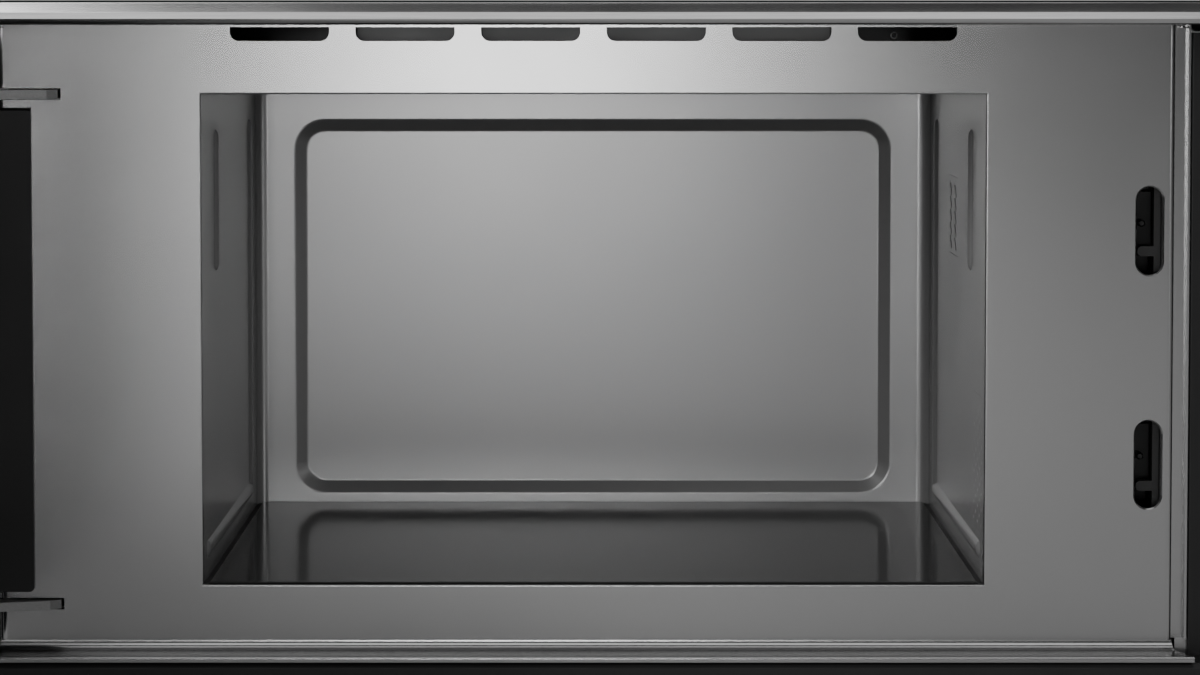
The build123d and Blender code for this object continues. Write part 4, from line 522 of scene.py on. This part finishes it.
def knob_grip():
    """Fine teeth round the control ring, and the mark that shows where it stands."""
    shape = bmesh.new()
    rings = []
    back, front = KNOB_BACK - 1.0, KNOB_FRONT + 1.4
    loop = ((back, -1.5, 0), (back, -0.1, 0), (back - 0.5, -0.1, 1),
            (front + 0.5, -0.1, 1), (front, -0.1, 0), (front, -1.5, 0), (back, -1.5, 0))
    for depth, inset, rise in loop:
        ring = []
        for k in range(GRIP_TEETH * 4):
            tooth = TOOTH_HEIGHT if k % 4 in (1, 2) else TOOTH_ROOT
            reach = KNOB_RADIUS + inset + rise * tooth
            a = 2 * pi * k / (GRIP_TEETH * 4)
            ring.append(spot(KNOB_X + reach * cos(a), depth, KNOB_Z + reach * sin(a)))
        rings.append(ring)
    skin(shape, rings)
    bmesh.ops.remove_doubles(shape, verts=shape.verts, dist=1e-7)
    add_piece("knob_grip", shape, MATERIALS["ring_metal"], "ring")

    shape = bmesh.new()
    low = (KNOB_X - 0.5, KNOB_FRONT - 0.08, KNOB_Z + KNOB_RADIUS * 0.83)
    high = (KNOB_X + 0.5, KNOB_FRONT + 1.0, KNOB_Z + KNOB_RADIUS * 0.94)
    block(shape, low, high)
    add_piece("knob_mark", shape, painted("mark_black", 0.02, 0.4, 0.0005), "ring")


def clock_digits():
    """Plain numbers on the display."""
    shape = bmesh.new()
    front, back = LENS_FRONT - 0.06, LENS_FRONT + 0.3
    for digit, centre in ((1, -12.3), (2, -5.3), (3, 5.3), (0, 12.3)):
        for name in DIGITS[digit]:
            x1, z1, x2, z2 = SEGMENTS[name]
            x1, x2 = (KNOB_X + centre + x * DIGIT_HALF_WIDE for x in (x1, x2))
            z1, z2 = (KNOB_Z + z * DIGIT_HALF_HIGH for z in (z1, z2))
            block(shape, (x1 - STROKE, front, z1 - STROKE), (x2 + STROKE, back, z2 + STROKE))
    for z in (KNOB_Z - 2.0, KNOB_Z + 2.0):
        block(shape, (KNOB_X - DOT, front, z - DOT), (KNOB_X + DOT, back, z + DOT))
    add_piece("clock_digits", shape, painted("digit_white", 0.75, 0.3, 0.0005, 0.02), smooth=False)


# Camera and studio

SURROUNDINGS = 0.06
FLOOR_HALF = 6.0
FLOOR_DROP = 0.0005
MOUTH = Vector((0.0, -0.12, 0.15))
LAMP_DISTANCE = 4.0

# Name, angle to the right of the front, height angle, power in watts, width and height
SOFT_BOXES = (
    ("soft_left_low", -30, 10, 22.0, (1.1, 1.1)),
    ("soft_left_high", -30, 25, 28.0, (1.1, 1.1)),
    ("soft_right", 45, 10, 15.0, (1.1, 1.1)),
    ("key", -45, 36, 42.0, (0.8, 0.8)),
    ("sky", 0, 42, 30.0, (3.2, 1.8)),
    ("rear_sky", 160, 42, 36.0, (3.2, 1.8)),
)


def camera():
    """The photograph's camera, with its frame shifted down and a slight tilt."""
    data = bpy.data.cameras.new("photo_camera")
    data.sensor_width = SENSOR_WIDTH
    data.lens = FOCAL_PIXELS / PHOTO[0] * SENSOR_WIDTH
    data.shift_x = (PHOTO[0] / 2 - VANISHING_POINT[0]) / PHOTO[0]
    data.shift_y = -SHIFT_DOWN / PHOTO[0]
    tilt = atan((PHOTO[1] / 2 - VANISHING_POINT[1] - SHIFT_DOWN) / FOCAL_PIXELS)
    data.clip_end = 50.0
    thing = bpy.data.objects.new("photo_camera", data)
    thing.location = CAMERA_PLACE
    thing.rotation_euler = (pi / 2 - tilt, 0, 0)
    bpy.context.collection.objects.link(thing)
    bpy.context.scene.camera = thing


def area_light(name, place, aim, size, power):
    """A rectangular lamp aimed at a point."""
    data = bpy.data.lights.new(name, "AREA")
    data.shape = "RECTANGLE"
    data.size, data.size_y = size
    data.energy = power
    thing = bpy.data.objects.new(name, data)
    thing.location = place
    direction = Vector(aim) - Vector(place)
    thing.rotation_euler = direction.to_track_quat("-Z", "Y").to_euler()
    bpy.context.collection.objects.link(thing)


def lamps():
    """A small lamp for the bright spot on the plate, and soft boxes round the cavity's mouth."""
    area_light("front", (-0.13, -4.0, 0.24), (-0.05, 0.0, 0.25), (0.4, 0.4), 10.0)
    for name, azimuth, elevation, power, size in SOFT_BOXES:
        a, e = radians(azimuth), radians(elevation)
        away = Vector((sin(a) * cos(e), -cos(a) * cos(e), sin(e))) * LAMP_DISTANCE
        area_light(name, MOUTH + away, MOUTH, size, power)
    area_light("overhead", (0.0, 0.1, 3.6), (0.0, 0.1, 0.0), (2.4, 2.4), 24.0)


def studio():
    """Pale floor and even, dim surroundings."""
    mesh = bpy.data.meshes.new("floor")
    corners = [(x * FLOOR_HALF, y * FLOOR_HALF, 0) for x, y in ((-1, -1), (1, -1), (1, 1), (-1, 1))]
    mesh.from_pydata(corners, [], [(0, 1, 2, 3)])
    floor = bpy.data.objects.new("floor", mesh)
    floor.location.z = -FLOOR_DROP
    bpy.context.collection.objects.link(floor)
    n = Nodes("floor_paint")
    cloud = n.noise(3.0)
    n.tint(cloud, "Fac", grey(0.62), grey(0.66))
    n.set(Roughness=0.7)
    mesh.materials.append(n.material)

    world = bpy.data.worlds.new("studio")
    world.use_nodes = True
    bpy.context.scene.world = world
    back = world.node_tree.nodes["Background"]
    back.inputs["Color"].default_value = (1, 1, 1, 1)
    back.inputs["Strength"].default_value = SURROUNDINGS


dress_nodes()
case_screws()
front_bar()
corner_lips()
duct_cheeks()
knob_grip()
clock_digits()
camera()
studio()
lamps()
